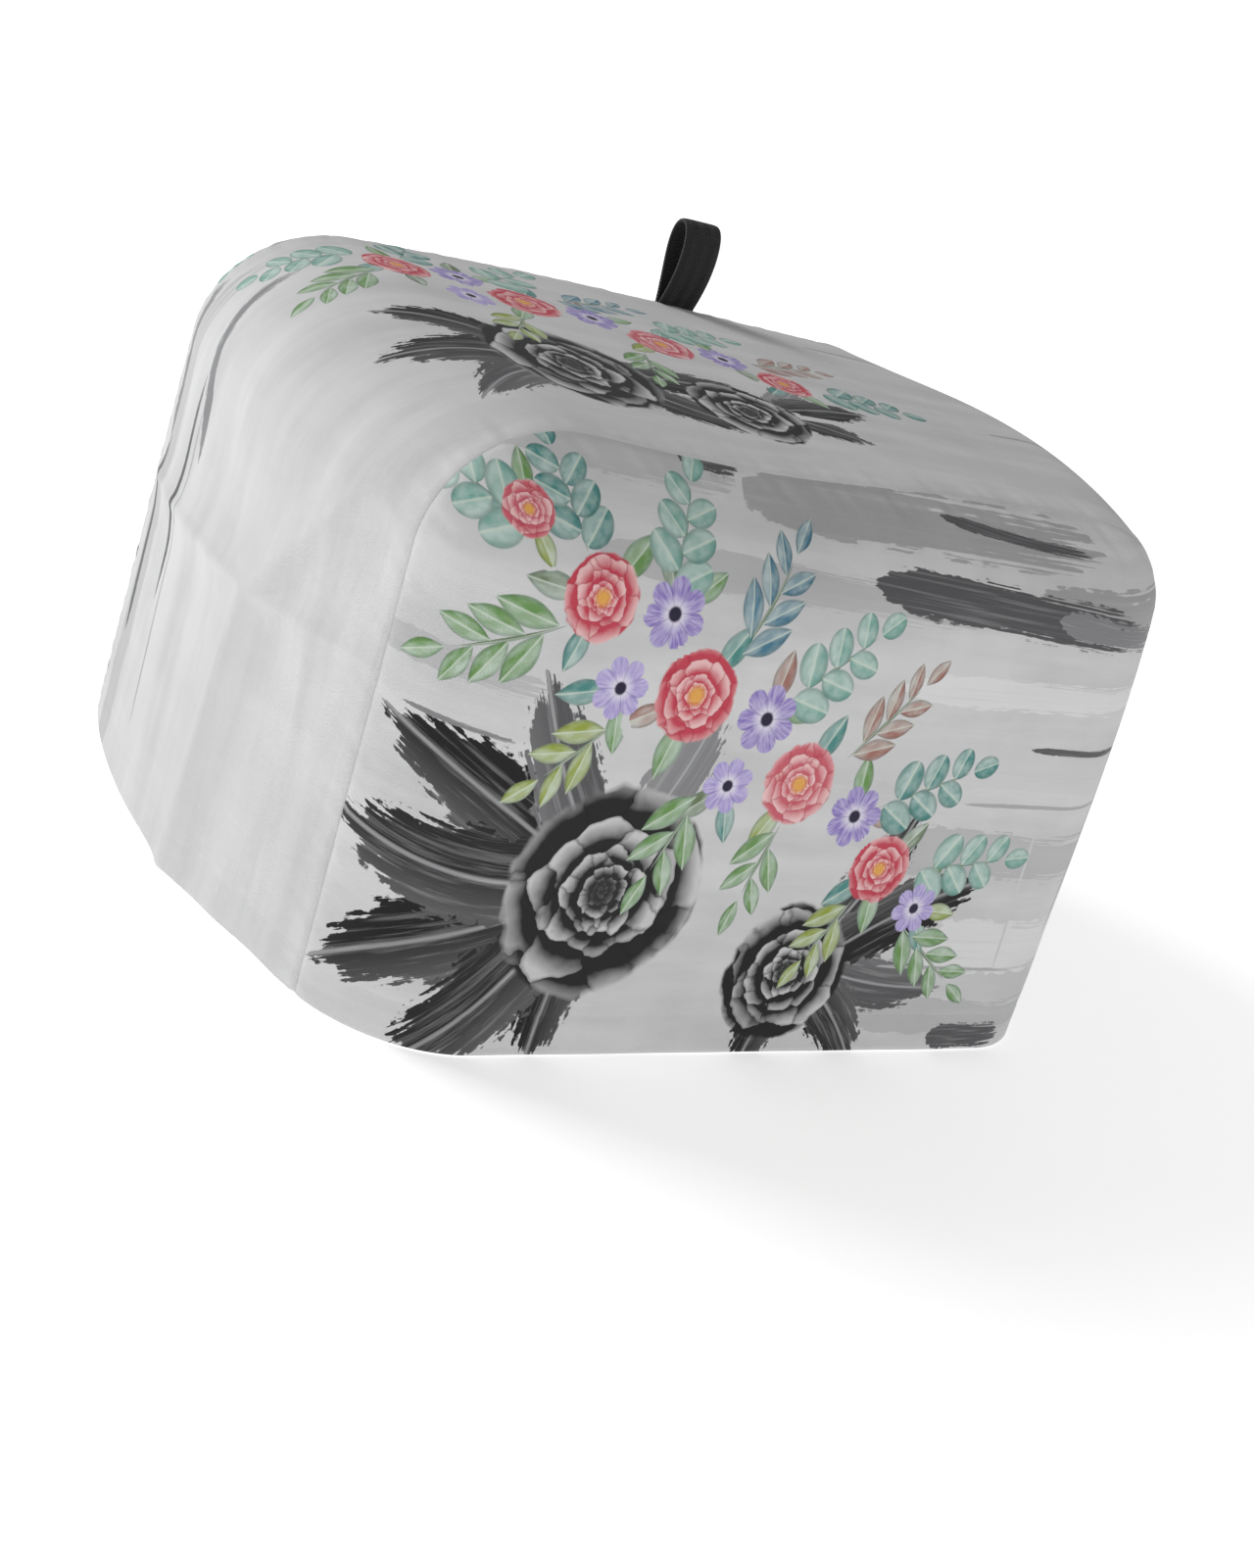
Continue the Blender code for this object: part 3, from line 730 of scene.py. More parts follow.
gusset_marks += [
    mark("inkbloom", -72, -26, 64, 64, 20, INK["soot"], 0.21),
    mark("inkbloom", -14, -38, 46, 46, -40, INK["black"], 0.64),
    mark("bloom", -96, 48, 25, 25, 20, INK["coral"], 0.25),
    mark("bloom", -58, 32, 28, 28, -30, INK["coral"], 0.52),
    mark("bloom", -16, 14, 26, 26, 65, INK["rose"], 0.77),
    mark("bloom", 22, -4, 22, 22, 65, INK["coral"], 0.33),
    mark("bloom", -73.5, 49, 21, 21, 12, INK["violet"], 1.31),
    mark("bloom", -80, 27, 18, 18, 100, INK["lilac"], 1.64),
    mark("bloom", -34, 29, 21, 21, -40, INK["violet"], 1.12),
    mark("bloom", 7, 11, 20, 20, -40, INK["violet"], 1.82),
]
gusset_marks += tuck(-96, 48, 14, [(90, 17, "fern"), (210, 17, "teal"), (270, 15, "moss")])
gusset_marks += tuck(-73.5, 49, 12, [(75, 16, "moss"), (20, 15, "fern")])
gusset_marks += tuck(-58, 32, 15, [(60, 18, "teal"), (240, 18, "fern")])
gusset_marks += tuck(-34, 29, 12, [(85, 16, "twig"), (15, 15, "fern")])
gusset_marks += tuck(-16, 14, 14, [(215, 17, "olive"), (60, 16, "teal")])
gusset_marks += tuck(7, 11, 12, [(95, 15, "fern"), (280, 15, "moss")])
gusset_marks += tuck(22, -4, 12, [(225, 16, "teal"), (290, 16, "fern")])
gusset_marks += sprig(-106, 54, 170, 34, 7, 13, INK["sage"], 1.0)
gusset_marks += sprig(-90, 58, 60, 24, 5, 12, INK["teal"], 1.0)
gusset_marks += sprig(-104, 40, 208, 32, 7, 18, INK["fern"], 0.0, 34)
gusset_marks += sprig(-64, 50, 38, 30, 5, 14, INK["sage"], 1.0)
gusset_marks += sprig(-44, 42, 14, 36, 7, 17, INK["blue"], 0.0, 32)
gusset_marks += sprig(-66, 16, 236, 24, 5, 17, INK["olive"], 0.0, 34)
gusset_marks += sprig(-10, 30, 12, 34, 7, 13, INK["sage"], 1.0)
gusset_marks += sprig(-30, 2, 250, 22, 5, 16, INK["fern"], 0.0, 34)
gusset_marks += sprig(16, 12, 10, 34, 7, 16, INK["twig"], 0.0, 30)
gusset_marks += sprig(34, -6, -10, 34, 7, 13, INK["teal"], 1.0)
print_marks("gusset", gusset_marks)

# %% [markdown]
# The back panel can't be seen in a shop photo of such a cover, so it gets the same ground with its
# trail of flowers turned the other way.

# %% Back panel marks
back_marks = [dict(m, s=-m["s"], turn=math.pi - m["turn"], bend=-m["bend"]) for m in front_marks]
print_marks("back_panel", back_marks)

# %% [markdown]
# ## Drawing a brush mark
# A loaded brush starts full and runs dry: its edge is ragged and its hairs leave streaks along the
# stroke. Noise that is stretched along p gives the streaks, and a second noise roughens the outline.
# A node group keeps the recipe in one place.

# %% Brush mark group


def group(name, colours=("Under", "Tint"), numbers=("Shape",), cover_too=False):
    tree = bpy.data.node_groups.new(name, "ShaderNodeTree")
    tree.interface.new_socket("Place", in_out="INPUT", socket_type="NodeSocketVector")
    for label in colours:
        tree.interface.new_socket(label, in_out="INPUT", socket_type="NodeSocketColor")
    for label in numbers:
        tree.interface.new_socket(label, in_out="INPUT", socket_type="NodeSocketFloat")
    tree.interface.new_socket("Color", in_out="OUTPUT", socket_type="NodeSocketColor")
    if cover_too:
        tree.interface.new_socket("Cover", in_out="OUTPUT", socket_type="NodeSocketFloat")
    source = add(tree, "NodeGroupInput")
    place = add(tree, "ShaderNodeSeparateXYZ", {0: source.outputs["Place"]})
    return tree, source, place


brush, source, place = group("brush_mark", numbers=("Shape", "Strength"))
p_size = add(brush, "ShaderNodeMath", {0: place.outputs[0]}, operation="ABSOLUTE")
q_size = add(brush, "ShaderNodeMath", {0: place.outputs[1]}, operation="ABSOLUTE")
taper_power = add(brush, "ShaderNodeMapRange", {0: source.outputs["Shape"], 3: 7.0, 4: 2.2})
taper = add(brush, "ShaderNodeMath", {0: p_size, 1: taper_power}, operation="POWER")
seed = add(brush, "ShaderNodeVectorMath", {0: source.outputs["Tint"], 1: (37.0,) * 3}, operation="MULTIPLY")
stretched = add(brush, "ShaderNodeVectorMath", {0: source.outputs["Place"], 1: (1.1, 8.0, 0.0), 2: seed},
                operation="MULTIPLY_ADD")
streaks = add(brush, "ShaderNodeTexNoise", {"Vector": stretched, "Scale": 1.0, "Detail": 4.0,
                                            "Roughness": 0.62})
rough_place = add(brush, "ShaderNodeVectorMath", {0: source.outputs["Place"], 1: (9.0, 4.0, 0.0), 2: seed},
                  operation="MULTIPLY_ADD")
ragged = add(brush, "ShaderNodeTexNoise", {"Vector": rough_place, "Scale": 1.0, "Detail": 3.0,
                                           "Roughness": 0.6})
body = add(brush, "ShaderNodeMath", {0: 1.0, 1: taper}, operation="SUBTRACT")
body = add(brush, "ShaderNodeMath", {0: body, 1: q_size}, operation="SUBTRACT")
edge = add(brush, "ShaderNodeMapRange", {0: ragged.outputs[0], 1: 0.3, 2: 0.7, 3: -0.18, 4: 0.18})
body = add(brush, "ShaderNodeMath", {0: body, 1: edge}, operation="ADD")
driest = add(brush, "ShaderNodeMapRange", {0: source.outputs["Shape"], 3: 1.4, 4: 0.55})
dry = add(brush, "ShaderNodeMapRange", {0: place.outputs[0], 1: -0.5, 2: 1.0, 3: 0.0, 4: driest})
streak = add(brush, "ShaderNodeMapRange", {0: streaks.outputs[0], 1: 0.46, 2: 0.72})
gaps = add(brush, "ShaderNodeMath", {0: streak, 1: dry}, operation="MULTIPLY")
body = add(brush, "ShaderNodeMath", {0: body, 1: gaps}, operation="SUBTRACT")
cover = add(brush, "ShaderNodeMapRange", {0: body, 1: 0.0, 2: 0.05})
within = add(brush, "ShaderNodeMath", {0: place.outputs[2], 1: INSIDE}, operation="GREATER_THAN")
cover = add(brush, "ShaderNodeMath", {0: cover, 1: within}, operation="MULTIPLY")
cover = add(brush, "ShaderNodeMath", {0: cover, 1: source.outputs["Strength"]}, operation="MULTIPLY")
wetness = add(brush, "ShaderNodeMapRange", {0: streaks.outputs[0], 1: 0.52, 2: 0.66, 3: 0.0, 4: 0.24})
washed_half = add(brush, "ShaderNodeMapRange", {0: place.outputs[1], 1: -0.06, 2: 0.75, 3: 0.0, 4: 0.18})
rib = add(brush, "ShaderNodeMapRange", {0: q_size, 1: 0.02, 2: 0.07, 3: 0.6, 4: 0.0})
washed_half = add(brush, "ShaderNodeMath", {0: washed_half, 1: rib}, operation="MAXIMUM")
wetness = add(brush, "ShaderNodeMath", {0: washed_half, 1: source.outputs["Shape"], 2: wetness},
              operation="MULTIPLY_ADD", use_clamp=True)
inked = add(brush, "ShaderNodeMix", {0: wetness, 6: source.outputs["Tint"], 7: colour("#c4c4c6")}, **RGBA)
printed = add(brush, "ShaderNodeMix", {0: cover, 6: source.outputs["Under"], 7: inked}, **RGBA)
add(brush, "NodeGroupOutput", {0: printed})
print("brush_mark", len(brush.nodes), "nodes")

# %% [markdown]
# ## Drawing a leaf
# A watercolour leaf is paler on one side of its midrib, darker where the paint pooled at its edge, and
# has a light midrib. Round leaves and pointed ones differ only in how fast they narrow.

# %% Leaf group
leaf, source, place = group("painted_leaf")
p_square = add(leaf, "ShaderNodeMath", {0: place.outputs[0], 1: place.outputs[0]}, operation="MULTIPLY")
q_size = add(leaf, "ShaderNodeMath", {0: place.outputs[1]}, operation="ABSOLUTE")
open_share = add(leaf, "ShaderNodeMath", {0: 1.0, 1: p_square}, operation="SUBTRACT")
open_share = add(leaf, "ShaderNodeMath", {0: open_share, 1: 0.0}, operation="MAXIMUM")
power = add(leaf, "ShaderNodeMapRange", {0: source.outputs["Shape"], 1: 0.45, 2: 0.9, 3: 1.15, 4: 0.5})
width = add(leaf, "ShaderNodeMath", {0: open_share, 1: power}, operation="POWER")
body = add(leaf, "ShaderNodeMath", {0: width, 1: q_size}, operation="SUBTRACT")
cover = add(leaf, "ShaderNodeMapRange", {0: body, 1: 0.0, 2: 0.10})
within = add(leaf, "ShaderNodeMath", {0: place.outputs[2], 1: INSIDE}, operation="GREATER_THAN")
cover = add(leaf, "ShaderNodeMath", {0: cover, 1: within}, operation="MULTIPLY")
seed = add(leaf, "ShaderNodeMath", {0: source.outputs["Shape"], 1: 91.0}, operation="MULTIPLY")
blot_place = add(leaf, "ShaderNodeVectorMath", {0: source.outputs["Place"], 1: seed}, operation="ADD")
blots = add(leaf, "ShaderNodeTexNoise", {"Vector": blot_place, "Scale": 1.4, "Detail": 2.0})
half_tone = add(leaf, "ShaderNodeMapRange", {0: place.outputs[1], 1: -0.12, 2: 0.12, 3: 0.0, 4: 0.25})
blot_tone = add(leaf, "ShaderNodeMapRange", {0: blots.outputs[0], 1: 0.35, 2: 0.65, 3: 0.0, 4: 0.38})
tone = add(leaf, "ShaderNodeMath", {0: half_tone, 1: blot_tone}, operation="ADD")
light = add(leaf, "ShaderNodeMix", {0: tone, 6: source.outputs["Tint"], 7: colour("#e4efe9")}, **RGBA)
pool = add(leaf, "ShaderNodeMapRange", {0: body, 1: 0.05, 2: 0.4, 3: 0.42, 4: 0.0})
dark = add(leaf, "ShaderNodeMix", {0: pool, 6: light, 7: colour("#25443f")}, **RGBA)
rib = add(leaf, "ShaderNodeMapRange", {0: q_size, 1: 0.03, 2: 0.11, 3: 0.6, 4: 0.0})
ribbed = add(leaf, "ShaderNodeMix", {0: rib, 6: dark, 7: colour("#dfe9dc")}, **RGBA)
printed = add(leaf, "ShaderNodeMix", {0: cover, 6: source.outputs["Under"], 7: ribbed}, **RGBA)
add(leaf, "NodeGroupOutput", {0: printed})
print("painted_leaf", len(leaf.nodes), "nodes")

# %% [markdown]
# ## Drawing a bloom
# A peony's petals crowd towards its middle and widen outwards. Voronoi cells do the same when their
# coordinates wrap round the bloom and grow with the logarithm of the distance from its middle: each
# cell is a petal, deep at its base and pale at its lip. An anemone is one open ring of petals round a
# dark eye.

# %% Bloom group
bloom, source, place = group("painted_bloom", ("Tint", "Light", "Deep", "Heart"), ("Shape", "Lip"),
                             cover_too=True)
flat_place = add(bloom, "ShaderNodeVectorMath", {0: source.outputs["Place"], 1: (1.0, 1.0, 0.0)},
                 operation="MULTIPLY")
radius = add(bloom, "ShaderNodeVectorMath", {0: flat_place}, operation="LENGTH").outputs["Value"]
angle = add(bloom, "ShaderNodeMath", {0: place.outputs[1], 1: place.outputs[0]}, operation="ARCTAN2")
seed = add(bloom, "ShaderNodeMath", {0: source.outputs["Shape"], 1: 53.0}, operation="MULTIPLY")
around = add(bloom, "ShaderNodeVectorMath", {0: flat_place}, operation="NORMALIZE")
grown = add(bloom, "ShaderNodeMath", {0: radius, 1: 0.10}, operation="ADD")
grown = add(bloom, "ShaderNodeMath", {0: grown, 1: math.e}, operation="LOGARITHM")
shift = add(bloom, "ShaderNodeMath", {0: grown, 1: 1.9, 2: seed}, operation="MULTIPLY_ADD")
rise = add(bloom, "ShaderNodeCombineXYZ", {2: shift})
wrapped = add(bloom, "ShaderNodeVectorMath", {0: around, 1: (1.15, 1.15, 0.0), 2: rise},
              operation="MULTIPLY_ADD")
wobble = add(bloom, "ShaderNodeTexNoise", {"Vector": wrapped, "Scale": 2.2, "Detail": 2.0})
petal_place = add(bloom, "ShaderNodeVectorMath", {0: wobble.outputs["Color"], 1: (0.35,) * 3, 2: wrapped},
                  operation="MULTIPLY_ADD")
cells = {"Vector": petal_place, "Scale": 1.35, "Randomness": 0.75}
petals = add(bloom, "ShaderNodeTexVoronoi", cells)
edges = add(bloom, "ShaderNodeTexVoronoi", cells, feature="DISTANCE_TO_EDGE")
inside_cell = add(bloom, "ShaderNodeVectorMath", {0: petal_place, 1: petals.outputs["Position"]},
                  operation="SUBTRACT")
inside_cell = add(bloom, "ShaderNodeSeparateXYZ", {0: inside_cell})
lip = add(bloom, "ShaderNodeMapRange", {0: inside_cell.outputs[2], 1: source.outputs["Lip"], 2: 0.34})
tint = source.outputs["Tint"]
lip_colour = add(bloom, "ShaderNodeMix", {0: 0.74, 6: tint, 7: source.outputs["Light"]}, **RGBA)
base_colour = add(bloom, "ShaderNodeMix", {0: 0.45, 6: tint, 7: source.outputs["Deep"]}, **RGBA)
petal = add(bloom, "ShaderNodeMix", {0: lip, 6: base_colour, 7: lip_colour}, **RGBA)
line = add(bloom, "ShaderNodeMapRange", {0: edges.outputs[0], 1: 0.0, 2: 0.07, 3: 0.55, 4: 0.0})
petal = add(bloom, "ShaderNodeMix", {0: line, 6: petal, 7: source.outputs["Deep"]}, **RGBA)
heart = add(bloom, "ShaderNodeMapRange", {0: radius, 1: 0.10, 2: 0.24, 3: 0.9, 4: 0.0})
peony = add(bloom, "ShaderNodeMix", {0: heart, 6: petal, 7: source.outputs["Heart"]}, **RGBA)
waist = add(bloom, "ShaderNodeMath", {0: angle, 1: 3.5, 2: seed}, operation="MULTIPLY_ADD")
waist = add(bloom, "ShaderNodeMath", {0: waist}, operation="COSINE")
waist = add(bloom, "ShaderNodeMath", {0: waist}, operation="ABSOLUTE")
waist = add(bloom, "ShaderNodeMath", {0: waist, 1: 0.45}, operation="POWER")
open_reach = add(bloom, "ShaderNodeMath", {0: waist, 1: 0.34, 2: 0.60}, operation="MULTIPLY_ADD")
ruffle = add(bloom, "ShaderNodeMath", {0: wobble.outputs[0], 1: 0.22, 2: 0.80}, operation="MULTIPLY_ADD")
is_anemone = add(bloom, "ShaderNodeMath", {0: source.outputs["Shape"], 1: 0.995}, operation="GREATER_THAN")
reach = add(bloom, "ShaderNodeMix", {0: is_anemone, 2: ruffle, 3: open_reach}, data_type="FLOAT")
veins = add(bloom, "ShaderNodeVectorMath", {0: around, 1: (9.0, 9.0, 0.0), 2: rise}, operation="MULTIPLY_ADD")
veins = add(bloom, "ShaderNodeTexNoise", {"Vector": veins, "Scale": 1.0, "Detail": 2.0})
vein_tone = add(bloom, "ShaderNodeMapRange", {0: veins.outputs[0], 1: 0.35, 2: 0.65, 3: 0.0, 4: 0.6})
violet = add(bloom, "ShaderNodeMix", {0: vein_tone, 6: source.outputs["Tint"], 7: colour("#e2dbf4")}, **RGBA)
pale_ring = add(bloom, "ShaderNodeMapRange", {0: radius, 1: 0.26, 2: 0.48, 3: 0.75, 4: 0.0})
violet = add(bloom, "ShaderNodeMix", {0: pale_ring, 6: violet, 7: colour("#f1edf8")}, **RGBA)
crease = add(bloom, "ShaderNodeMapRange", {0: waist, 1: 0.0, 2: 0.6, 3: 0.6, 4: 0.0})
violet = add(bloom, "ShaderNodeMix", {0: crease, 6: violet, 7: colour("#5b4a9a")}, **RGBA)
eye = add(bloom, "ShaderNodeMapRange", {0: radius, 1: 0.16, 2: 0.22, 3: 1.0, 4: 0.0})
anemone = add(bloom, "ShaderNodeMix", {0: eye, 6: violet, 7: colour("#231d3a")}, **RGBA)
flower = add(bloom, "ShaderNodeMix", {0: is_anemone, 6: peony, 7: anemone}, **RGBA)
body = add(bloom, "ShaderNodeMath", {0: reach, 1: radius}, operation="SUBTRACT")
cover = add(bloom, "ShaderNodeMapRange", {0: body, 1: 0.0, 2: 0.05})
within = add(bloom, "ShaderNodeMath", {0: place.outputs[2], 1: INSIDE}, operation="GREATER_THAN")
cover = add(bloom, "ShaderNodeMath", {0: cover, 1: within}, operation="MULTIPLY")
add(bloom, "NodeGroupOutput", {0: flower, 1: cover})
print("painted_bloom", len(bloom.nodes), "nodes")

# %% [markdown]
# ## Printed woven polyester
# The cover's cloth is polyester, plain woven from fine bright yarn and printed with heat-set dyes. It looks
# matt with a faint sheen at grazing angles, and close up its threads show as tiny bumps. The ground is
# dry grey brushwork: noise stretched along the cloth, with a few hard edges.

# %% Printed polyester
THREAD_MM = 0.62  # The real threads are about 0.35 mm apart; drawn coarser, so that they show.
STITCH_MM = 3.2

polyester = bpy.data.materials.new("printed_woven_polyester")
polyester.use_nodes = True
tree = polyester.node_tree
tree.nodes.clear()
cloth_place = add(tree, "ShaderNodeAttribute", attribute_name="cloth_place").outputs["Vector"]
long_place = add(tree, "ShaderNodeVectorMath", {0: cloth_place, 1: (0.010, 0.060, 0.0)}, operation="MULTIPLY")
broad = add(tree, "ShaderNodeTexNoise", {"Vector": long_place, "Scale": 1.0, "Detail": 4.0,
                                         "Roughness": 0.55})
tall_place = add(tree, "ShaderNodeVectorMath", {0: cloth_place, 1: (0.060, 0.009, 0.0)}, operation="MULTIPLY")
upright = add(tree, "ShaderNodeTexNoise", {"Vector": tall_place, "Scale": 1.0, "Detail": 2.0,
                                           "Roughness": 0.5})
hair_place = add(tree, "ShaderNodeVectorMath", {0: cloth_place, 1: (0.02, 1.1, 0.0)}, operation="MULTIPLY")
hairs = add(tree, "ShaderNodeTexNoise", {"Vector": hair_place, "Scale": 1.0, "Detail": 2.0, "Roughness": 0.6})
steps = add(tree, "ShaderNodeMapRange", {0: broad.outputs[0], 1: 0.36, 2: 0.62}, interpolation_type="STEPPED")
steps.inputs["Steps"].default_value = 5.0
smooth = add(tree, "ShaderNodeMapRange", {0: broad.outputs[0], 1: 0.32, 2: 0.66})
ground_tone = add(tree, "ShaderNodeMix", {0: 0.45, 2: smooth, 3: steps}, data_type="FLOAT")
upright_tone = add(tree, "ShaderNodeMapRange", {0: upright.outputs[0], 1: 0.35, 2: 0.65, 3: -0.16, 4: 0.16})
ground_tone = add(tree, "ShaderNodeMath", {0: ground_tone, 1: upright_tone}, operation="ADD")
hair_tone = add(tree, "ShaderNodeMapRange", {0: hairs.outputs[0], 1: 0.35, 2: 0.65, 3: -0.05, 4: 0.05})
ground_tone = add(tree, "ShaderNodeMath", {0: ground_tone, 1: hair_tone}, operation="ADD", use_clamp=True)
ground = add(tree, "ShaderNodeMix", {0: ground_tone, 6: colour("#d0d0d1"), 7: colour("#dfdfdf")}, **RGBA)
printed = ground


def marks_of(layer):
    place = add(tree, "ShaderNodeAttribute", attribute_name=f"{layer}_place")
    tint = add(tree, "ShaderNodeAttribute", attribute_name=f"{layer}_tint")
    return place.outputs["Vector"], tint.outputs["Color"], tint.outputs["Alpha"]


# Ink blooms lie under the leaves and coloured ones over them. Petals are slow to work out, so both kinds
# share one drawing: it is the coloured bloom's wherever there is one.
SOOT = {"Light": colour("#f0f0f0"), "Deep": colour("#030303"), "Heart": colour("#2a2a2b")}
CORAL = {"Light": colour("#fde2e0"), "Deep": colour("#b3223c"), "Heart": colour("#eeb04a")}
under_place, under_tint, under_shape = marks_of("inkbloom")
over_place, over_tint, over_shape = marks_of("bloom")
is_over = add(tree, "ShaderNodeSeparateXYZ", {0: over_place})
is_over = add(tree, "ShaderNodeMath", {0: is_over.outputs[2], 1: INSIDE}, operation="GREATER_THAN")
pots = {pot: add(tree, "ShaderNodeMix", {0: is_over, 6: SOOT[pot], 7: CORAL[pot]}, **RGBA) for pot in SOOT}
pots["Tint"] = add(tree, "ShaderNodeMix", {0: is_over, 6: under_tint, 7: over_tint}, **RGBA)
pots["Place"] = add(tree, "ShaderNodeMix", {0: is_over, 4: under_place, 5: over_place}, data_type="VECTOR")
pots["Shape"] = add(tree, "ShaderNodeMix", {0: is_over, 2: under_shape, 3: over_shape}, data_type="FLOAT")
pots["Lip"] = add(tree, "ShaderNodeMapRange", {0: is_over, 3: -0.10, 4: -0.22})
flower = add(tree, "ShaderNodeGroup", pots, node_tree=bloom)
over_cover = add(tree, "ShaderNodeMath", {0: flower.outputs["Cover"], 1: is_over}, operation="MULTIPLY")
under_cover = add(tree, "ShaderNodeMath", {0: flower.outputs["Cover"], 1: over_cover}, operation="SUBTRACT")
flower_covers = {"inkbloom": under_cover, "bloom": over_cover}
STRENGTHS = {"wash": 0.6, "brush": 1.0, "overbrush": 1.0}
for layer in LAYERS:
    if layer in flower_covers:
        inputs = {0: flower_covers[layer], 6: printed, 7: flower.outputs["Color"]}
        printed = add(tree, "ShaderNodeMix", inputs, **RGBA)
    else:
        place, tint, shape = marks_of(layer)
        inputs = {"Under": printed, "Place": place, "Tint": tint, "Shape": shape}
        if layer in STRENGTHS:
            drawn = add(tree, "ShaderNodeGroup", dict(inputs, Strength=STRENGTHS[layer]), node_tree=brush)
        else:
            drawn = add(tree, "ShaderNodeGroup", inputs, node_tree=leaf)
        printed = drawn.outputs[0]

# %% The weave and the hem's stitches, as bumps, and painted shade in the weave's hollows
threads = add(tree, "ShaderNodeVectorMath", {0: cloth_place, 1: (2 * math.pi / THREAD_MM,) * 3},
              operation="MULTIPLY")
threads = add(tree, "ShaderNodeVectorMath", {0: threads}, operation="SINE")
threads = add(tree, "ShaderNodeSeparateXYZ", {0: threads})
weave = add(tree, "ShaderNodeMath", {0: threads.outputs[0], 1: threads.outputs[1]}, operation="MULTIPLY")
# Painted shade: the cloth's colour is up to 7 % darker in the weave's hollows, where the bump below is
# lowest.
weave_hollow_shade = add(tree, "ShaderNodeMapRange", {0: weave, 1: -1.0, 2: 1.0, 3: 0.93, 4: 1.0})
printed = add(tree, "ShaderNodeVectorMath", {0: printed, 1: weave_hollow_shade}, operation="MULTIPLY")
ruler = add(tree, "ShaderNodeSeparateXYZ", {0: cloth_place})
stitch_step = add(tree, "ShaderNodeMath", {0: ruler.outputs[0], 1: 1 / STITCH_MM}, operation="MULTIPLY")
stitch_step = add(tree, "ShaderNodeMath", {0: stitch_step}, operation="FRACT")
stitch_long = add(tree, "ShaderNodeMapRange", {0: stitch_step, 1: 0.70, 2: 0.80, 3: 1.0, 4: 0.0})
stitch_level = add(tree, "ShaderNodeMath", {0: ruler.outputs[2], 1: 1000 * STITCH_LINE}, operation="SUBTRACT")
stitch_level = add(tree, "ShaderNodeMath", {0: stitch_level}, operation="ABSOLUTE")
stitch_wide = add(tree, "ShaderNodeMapRange", {0: stitch_level, 1: 0.18, 2: 0.34, 3: 1.0, 4: 0.0})
stitch = add(tree, "ShaderNodeMath", {0: stitch_long, 1: stitch_wide}, operation="MULTIPLY")
height = add(tree, "ShaderNodeMath", {0: stitch, 1: 3.0, 2: weave}, operation="MULTIPLY_ADD")
bump = add(tree, "ShaderNodeBump", {"Height": height, "Strength": 0.30, "Distance": 0.00012})
shader = add(tree, "ShaderNodeBsdfPrincipled", {
    "Base Color": printed, "Normal": bump, "Roughness": 0.70, "IOR": 1.50, "Specular IOR Level": 0.35,
    "Sheen Weight": 0.08, "Sheen Roughness": 0.45})
add(tree, "ShaderNodeOutputMaterial", {0: shader})
print(polyester.name, len(tree.nodes), "nodes")

# %% [markdown]
# ## The cloth's back
# Heat-set print only colours the face. The back stays the white of the yarn, a little greyed where the
# dye shows through, with the same threads.

# %% Unprinted back
backing = bpy.data.materials.new("unprinted_polyester_back")
backing.use_nodes = True
tree = backing.node_tree
tree.nodes.clear()
solid_place = add(tree, "ShaderNodeTexCoord").outputs["Object"]
shadow = add(tree, "ShaderNodeTexNoise", {"Vector": solid_place, "Scale": 28.0, "Detail": 3.0})
shadow_tone = add(tree, "ShaderNodeMapRange", {0: shadow.outputs[0], 1: 0.35, 2: 0.65})
back_colour = add(tree, "ShaderNodeMix", {0: shadow_tone, 6: colour("#d9d9da"), 7: colour("#ececec")}, **RGBA)
threads = add(tree, "ShaderNodeVectorMath", {0: solid_place, 1: (2000 * math.pi / THREAD_MM,) * 3},
              operation="MULTIPLY")
threads = add(tree, "ShaderNodeVectorMath", {0: threads}, operation="SINE")
threads = add(tree, "ShaderNodeSeparateXYZ", {0: threads})
weave = add(tree, "ShaderNodeMath", {0: threads.outputs[0], 1: threads.outputs[1]}, operation="ADD")
weave = add(tree, "ShaderNodeMath", {0: weave, 1: threads.outputs[2]}, operation="MULTIPLY")
bump = add(tree, "ShaderNodeBump", {"Height": weave, "Strength": 0.25, "Distance": 0.00012})
shader = add(tree, "ShaderNodeBsdfPrincipled", {
    "Base Color": back_colour, "Normal": bump, "Roughness": 0.8, "IOR": 1.50,
    "Specular IOR Level": 0.3, "Sheen Weight": 0.15, "Sheen Roughness": 0.5})
add(tree, "ShaderNodeOutputMaterial", {0: shader})
for piece in pieces.values():
    piece.data.materials.append(polyester)
    piece.data.materials.append(backing)

# %% [markdown]
# ## The pull loop
# Black flat webbing, folded in half and caught in the back seam, so that the cover can be lifted off
# and hung up. Its section is a flat band with rounded edges, swept along a teardrop. Webbing is modelled
# directly, because it is too stiff to sag.

# %% Webbing loop
WEBBING_WIDTH = 0.015
WEBBING_THICKNESS = 0.0016
LOOP_HEIGHT = 0.030
LOOP_BULGE = 0.0122
LOOP_PLACE = 0.0315
LOOP_STEPS = 120
LOOP_ROOT = 0.0016


def loop_line():
    foot = 0.5 * (WEBBING_THICKNESS + 0.0003)
    swell = 0.5 * (LOOP_BULGE - WEBBING_THICKNESS) - foot
    tall = LOOP_HEIGHT - WEBBING_THICKNESS / 2
    angle = np.linspace(0.0, math.pi, LOOP_STEPS + 1)
    line = np.stack([foot * np.cos(angle) + swell * np.sin(2 * angle), tall * np.sin(angle)], axis=1)
    below = np.array([[foot, -LOOP_ROOT]]), np.array([[-foot, -LOOP_ROOT]])
    return np.vstack([below[0], line, below[1]])


def band_section(count=44):
    """Half widths and half thicknesses round the webbing: flat faces and rounded edges."""
    angle = np.linspace(0.0, 2 * math.pi, count, endpoint=False)
    x = np.sign(np.cos(angle)) * np.abs(np.cos(angle)) ** 0.35
    y = np.sign(np.sin(angle)) * np.abs(np.sin(angle)) ** 0.55
    return np.stack([x * WEBBING_WIDTH / 2, y * WEBBING_THICKNESS / 2], axis=1)


